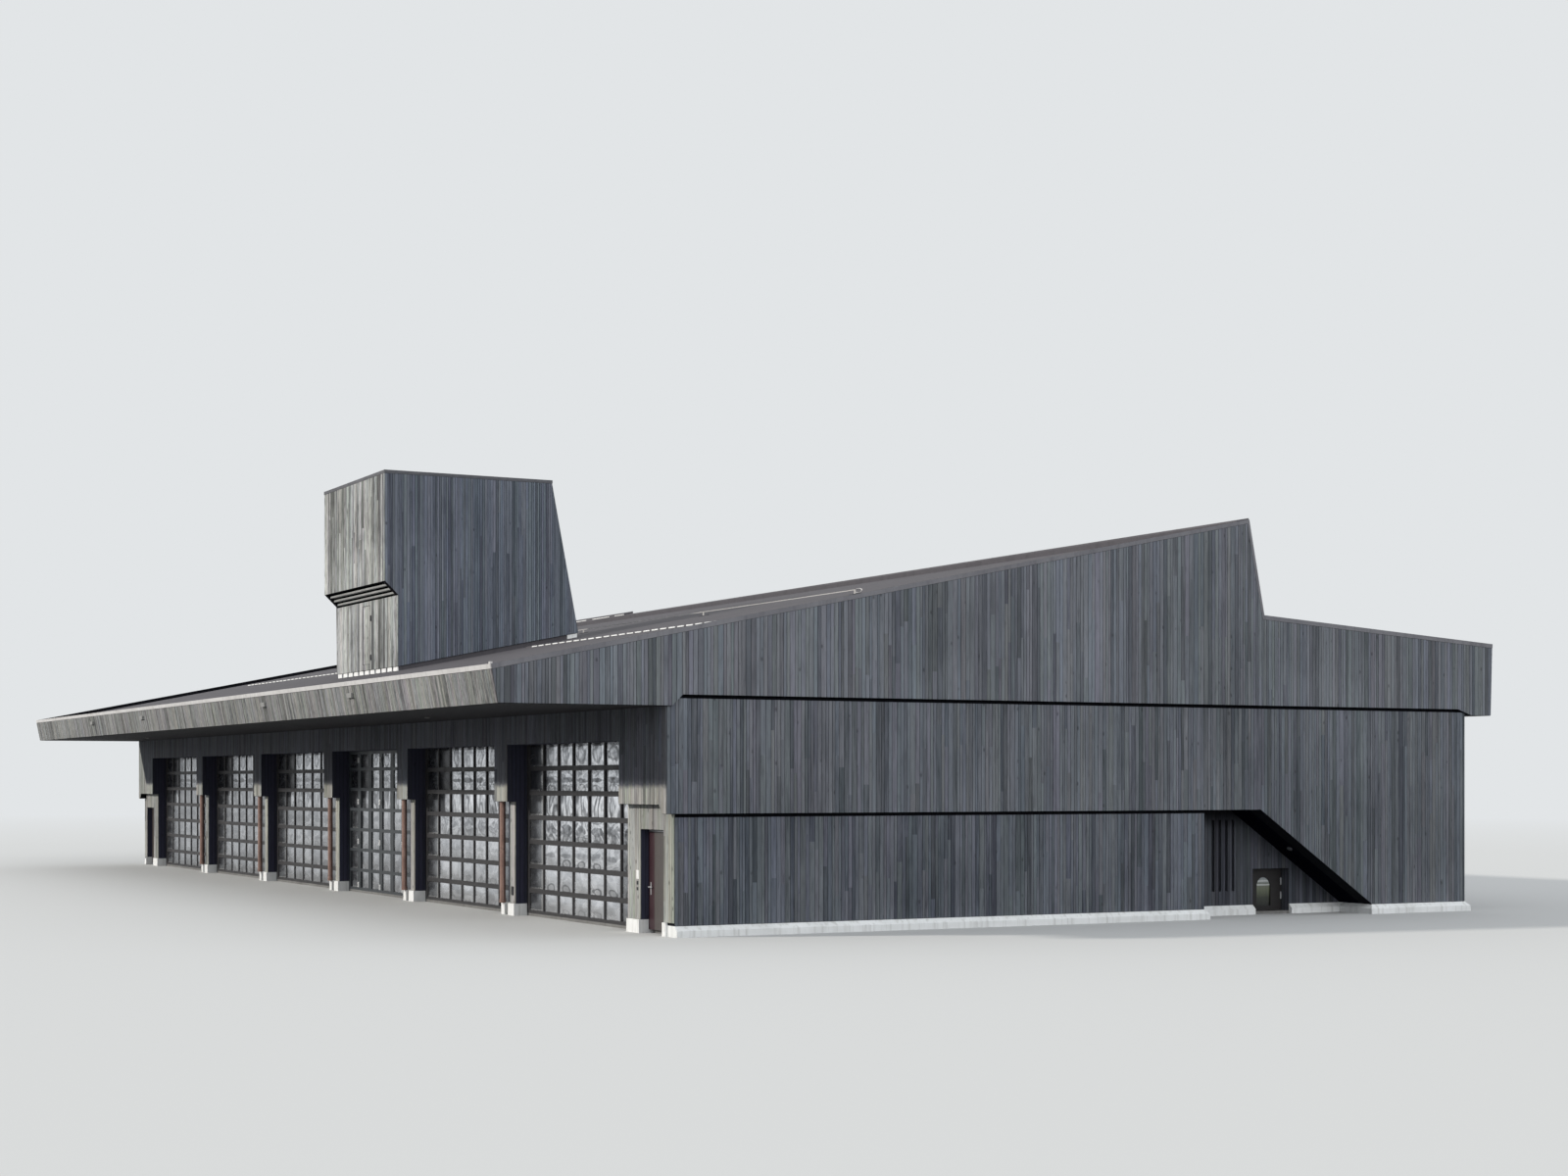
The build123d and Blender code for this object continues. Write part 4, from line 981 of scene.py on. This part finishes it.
# columns, edge, bar between columns, rise of the rows, rail between rows
SECTION_DOOR, FOLDING_DOOR = (7, 0.145, 0.06, 0.02, 0.1), (6, 0.23, 0.23, 0.06, 0.08)
for bay, (start, end) in enumerate(bays):
    folding = bay == 2
    columns, edge, bar, rise, rail = FOLDING_DOOR if folding else SECTION_DOOR
    pitch = (end - start - 2 * edge + bar) / columns
    swell = 0.016 - 0.002 * bay
    bm = bmesh.new()
    for label in PANE_LABELS:
        bm.faces.layers.float.new(label)
    for row in range(ROWS):
        foot = max(row * SECTION + rise + rail / 2, LOWEST_PANE)
        top = (row + 1) * SECTION + rise - rail / 2
        if row == ROWS - 1:
            top = BAY_HEAD - 0.08 if folding else BAY_HEAD + 0.02
        for column in range(columns):
            low_y = start + edge + column * pitch
            numbers = pane_numbers(bay, row, column, columns, folding)
            add_pane(bm, (low_y, foot), (low_y + pitch - bar, top), PANE_PLACE, swell, numbers)
    new_piece(f"panes_{bay + 1}", bm, "wavy_panes_painted_reflection")
print("panes on", len(bays), "doors")

# %% [markdown]
# ## Small metal parts
# Plates, collars and marks give a large wall its scale. On the roof a line of pale plates holds
# back the snow above the canopy, and higher up a safety cable runs between posts and ends in a
# loop. Collars hold the copper pipes. The niche door has hinges, and both entry leaves a lock
# plate and a bright line at the head. Each is a plain bar or ring, made by a helper.

# %% Makers of bars and rings
RING_STEPS = 24


def add_ring(bm, middle, radius, thickness):
    """An upright ring of wire that faces the yard."""
    made = bmesh.ops.create_circle(bm, segments=8, radius=thickness)["verts"]
    bmesh.ops.translate(bm, verts=made, vec=middle + Vector((0, radius, 0)))
    edges = list({edge for corner in made for edge in corner.link_edges})
    path = {"cent": middle, "axis": (1, 0, 0), "angle": math.tau, "steps": RING_STEPS}
    bmesh.ops.spin(bm, geom=edges, use_merge=True, **path)


def add_collar(bm, middle, radius, height):
    """A short upright drum round a pipe."""
    sizes = {"radius1": radius, "radius2": radius, "depth": height, "segments": RING_STEPS}
    bmesh.ops.create_cone(bm, cap_ends=True, matrix=Matrix.Translation(middle), **sizes)


def finish_bars(name, bm, finish, body="building"):
    """Turn normals outwards and make the piece."""
    bmesh.ops.recalc_face_normals(bm, faces=bm.faces[:])
    print(name, "has", len(bm.faces), "faces")
    new_piece(name, bm, finish, body)


def bar_piece(name, bars, finish, body="building", lean=0.0):
    """A piece of boxes, each between two corners, that rise with lean along X."""
    bm = bmesh.new()
    for bar in bars:
        low, high = map(Vector, bar)
        made = bmesh.ops.create_cube(bm, size=1)["verts"]
        bmesh.ops.scale(bm, verts=made, vec=high - low)
        bmesh.ops.translate(bm, verts=made, vec=(high + low) / 2)
        for corner in made:
            corner.co.z += lean * (corner.co.x - (high.x + low.x) / 2)
    finish_bars(name, bm, finish, body)


# %% Snow guard, cable posts and vent on the roof
GUARD_PLACE, CABLE_PLACE = 2.7, 7.0
PLATE_LENGTH, PLATE_PITCH, PLATE_HEIGHT = 0.28, 0.39, 0.032
GUARD_START, GUARD_GAP, GUARD_END = 2.4, 1.7, 3.96
guard_level = roof_edge(GUARD_PLACE) - ROOF_DROP
near_run = (NEAR + GUARD_START, TOWER_NEAR - GUARD_GAP)
bars = []
for y, end in (near_run, (TOWER_FAR + GUARD_GAP, FAR - GUARD_END)):
    while y + PLATE_LENGTH < end:
        low = spot(GUARD_PLACE - 0.014, y, guard_level + 0.006)
        high = spot(GUARD_PLACE - 0.002, y + PLATE_LENGTH, guard_level + PLATE_HEIGHT)
        bars.append((low, high))
        y += PLATE_PITCH
bar_piece("guard_plates", bars, "white_paint")

CABLE_START, CABLE_END, POSTS, POST_WIDTH = NEAR + 4.45, FAR - 1.1, 6, 0.06
cable_level = roof_edge(CABLE_PLACE) - ROOF_DROP
bars = []
for post in range(POSTS):
    y = CABLE_START + post * (CABLE_END - CABLE_START - POST_WIDTH) / (POSTS - 1)
    low = spot(CABLE_PLACE - 0.1, y - 0.04, cable_level - 0.004)
    bars.append((low, spot(CABLE_PLACE + 0.12, y + 0.1, cable_level + 0.012)))
bar_piece("cable_feet", bars, "black_paint", lean=SLOPE)
LOOP_RADIUS, CABLE_RADIUS, FLATTENED = 0.09, 0.01, (1, 1.6, 0.5)
bm = bmesh.new()
middle = spot(CABLE_PLACE + 0.01, CABLE_START - 0.1, cable_level + 0.07)
add_ring(bm, middle, LOOP_RADIUS, CABLE_RADIUS)
bmesh.ops.scale(bm, verts=bm.verts, vec=FLATTENED, space=Matrix.Translation(-middle))
finish_bars("cable_loop", bm, "pale_zinc")

VENT_STRIPS = ((0.0, 0.7), (1.1, 2.4), (2.9, 4.0))
x, vent_y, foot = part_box("ridge_vent")[0]
bars = []
for start, end in VENT_STRIPS:
    low = (x - 0.012, vent_y + start, foot + 0.004)
    bars.append((low, (x - 0.001, vent_y + end, foot + 0.024)))
bar_piece("vent_strips", bars, "white_paint")
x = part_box("eaves_trims")[0].x
tab = ((x, NEAR, EAVES), (x + 0.05, NEAR + 0.06, EAVES + 0.04))
bar_piece("trim_tab", [tab], "pale_zinc")

# %% Collars, hinges and marks on the walls
PIPE_PLACE, PIPE_INSET = 0.13, 0.125
COLLARS = ((0.30, 0.074, 0.08), (1.35, 0.07, 0.03), (2.3, 0.07, 0.03))
bm = bmesh.new()
for start, end in piers:
    for level, radius, height in COLLARS:
        add_collar(bm, spot(PIPE_PLACE, end - PIPE_INSET, level), radius, height)
finish_bars("pipe_collars", bm, "brown_copper")

marks = [
    # two corners each: place, Y, level
    ((-0.018, NEAR + 15.96, 6.98), (-0.002, NEAR + 16.02, 7.12)),
    ((-0.018, NEAR + 15.96, 5.99), (-0.002, NEAR + 16.02, 6.13)),
    ((0.166, piers[0][0] + 0.09, 0.44), (0.183, piers[0][0] + 0.19, 0.63)),
    ((0.172, NEAR + 1.565, 0.93), (0.183, NEAR + 1.615, 1.00)),
    ((0.172, NEAR + 1.565, 0.82), (0.183, NEAR + 1.615, 0.88)),
]
bars = [(spot(*low), spot(*high)) for low, high in marks]
bar_piece("wall_marks", bars, "black_paint")

HALF_GAP = 0.006
top = hatch_high.z
low = spot(-0.006, hatch_low.y - HALF_GAP, top - HALF_GAP)
bars = [(low, spot(-0.002, hatch_high.y + HALF_GAP, top + HALF_GAP))]
for y in (hatch_low.y, hatch_high.y):
    low = spot(-0.006, y - HALF_GAP, hatch_low.z)
    bars.append((low, spot(-0.002, y + HALF_GAP, top - HALF_GAP - 0.001)))
bar_piece("hatch_outline", bars, "black_paint")

HINGE_LEVELS, HALF_HINGE = (0.39, 0.70), 0.08
leaf_low, leaf_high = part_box("niche_door")
bars = []
for level in HINGE_LEVELS:
    low = (leaf_high.x - 0.035, leaf_low.y - 0.008, level - HALF_HINGE)
    bars.append((low, (leaf_high.x - 0.004, leaf_low.y - 0.001, level + HALF_HINGE)))
bar_piece("niche_hinges", bars, "brushed_metal", "niche_leaf")
LINE_INSET, PLATE_WIDTH = 0.03, 0.04
for body, name in (("near_entry_leaf", "near_entry_door"), ("far_entry_leaf", "far_entry_door")):
    leaf_low, leaf_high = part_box(name)
    front, back = leaf_low.x - 0.004, leaf_low.x - 0.001
    low = (front, leaf_low.y + LINE_INSET, leaf_high.z - 0.03)
    bars = [(low, (back, leaf_high.y - LINE_INSET, leaf_high.z - 0.012))]
    bar_piece(name.replace("door", "head_line"), bars, "brushed_metal", body)
    lever_low, lever_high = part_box(name.replace("door", "handle"))
    start = lever_high.y - 0.05 if leaf_low.y < 0 else lever_low.y + 0.01
    level = (lever_low.z + lever_high.z) / 2
    bars = [((front, start, level - 0.15), (back, start + PLATE_WIDTH, level + 0.09))]
    bar_piece(name.replace("door", "lock_plate"), bars, "brushed_metal", body)

# %% [markdown]
# ## Floor, sky and light
# The building stands on a plain pale floor under a soft sky. One low sun leaves the gable in shade
# and draws the canopy's shadow across the front, and a very broad second lamp keeps that gable
# readable. The floor fades into the backdrop far out, so that no edge shows, and is darker for
# bounced light than for the camera, or it would light the soffits from below.

# %% Floor
BACKDROP = shade(226, 229, 231)
FLOOR_RADIUS, FADE_START, FADE_END = 600, 45.0, 130.0
bm = bmesh.new()
bmesh.ops.create_circle(bm, cap_ends=True, segments=96, radius=FLOOR_RADIUS)
floor = add_object("floor", made_mesh("floor", bm))
tree, shader, place = start_finish("pale_floor", Roughness=0.9, Specular_IOR_Level=0.0)
floor.data.materials.append(finishes["pale_floor"])
floor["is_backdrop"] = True
rays = wire(tree, "LightPath").outputs
seen = sums(tree, "MAXIMUM", rays["Is Camera Ray"], rays["Is Glossy Ray"])
plug_in(tree, shader, blend(tree, seen, shade(108, 108, 106), shade(205, 205, 203)))
haze = wire(tree, "Emission", {"Color": BACKDROP, "Strength": 1.0})
reach = wire(tree, "VectorMath", {0: place}, operation="LENGTH").outputs["Value"]
fade = spread(tree, reach, FADE_START, FADE_END)
joined = wire(tree, "MixShader", {0: fade, 1: shader.outputs[0], 2: haze.outputs[0]})
tree.links.new(joined.outputs[0], tree.nodes["Material Output"].inputs["Surface"])

# %% Sky and sun
world = bpy.data.worlds.new("soft_sky")
bpy.context.scene.world = world
world.use_nodes = True
tree = world.node_tree
rays = wire(tree, "LightPath").outputs
seen = sums(tree, "MAXIMUM", rays["Is Camera Ray"], rays["Is Transmission Ray"])
seen = sums(tree, "MAXIMUM", seen, rays["Is Glossy Ray"])
tint = blend(tree, seen, shade(244, 249, 255), BACKDROP)
sky = tree.nodes["Background"].inputs
tree.links.new(tint, sky["Color"])
tree.links.new(spread(tree, seen, 0, 1, 0.8, 1.0), sky["Strength"])


def add_sun(name, energy, angle, ray, colour):
    """A sun lamp shining along a ray."""
    sun = bpy.data.lights.new(name, "SUN")
    sun.energy, sun.angle, sun.color = energy, math.radians(angle), colour
    lamp = add_object(name, sun)
    lamp.rotation_euler = Vector(ray).to_track_quat("-Z", "Y").to_euler()
    height = math.degrees(math.asin(-Vector(ray).normalized().z))
    print(name, "stands", round(height, 1), "degrees high")


add_sun("low_sun", 2.7, 3, SUN_RAY, (1.0, 0.96, 0.9))
add_sun("broad_fill", 1.0, 40, (0.1, 1.0, -0.35), (0.96, 0.98, 1.0))

# %% [markdown]
# ## Last measurements
# The dressing adds boards and small parts around the solids. The dressed building has to stay the
# size of its solids. The cell prints how far it grows past them on each side.

# %% Compare the two boxes
seen_low, seen_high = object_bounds()
grown = [*(cad_low - seen_low), *(seen_high - cad_high)]
print("grown by", [round(value, 3) for value in grown])
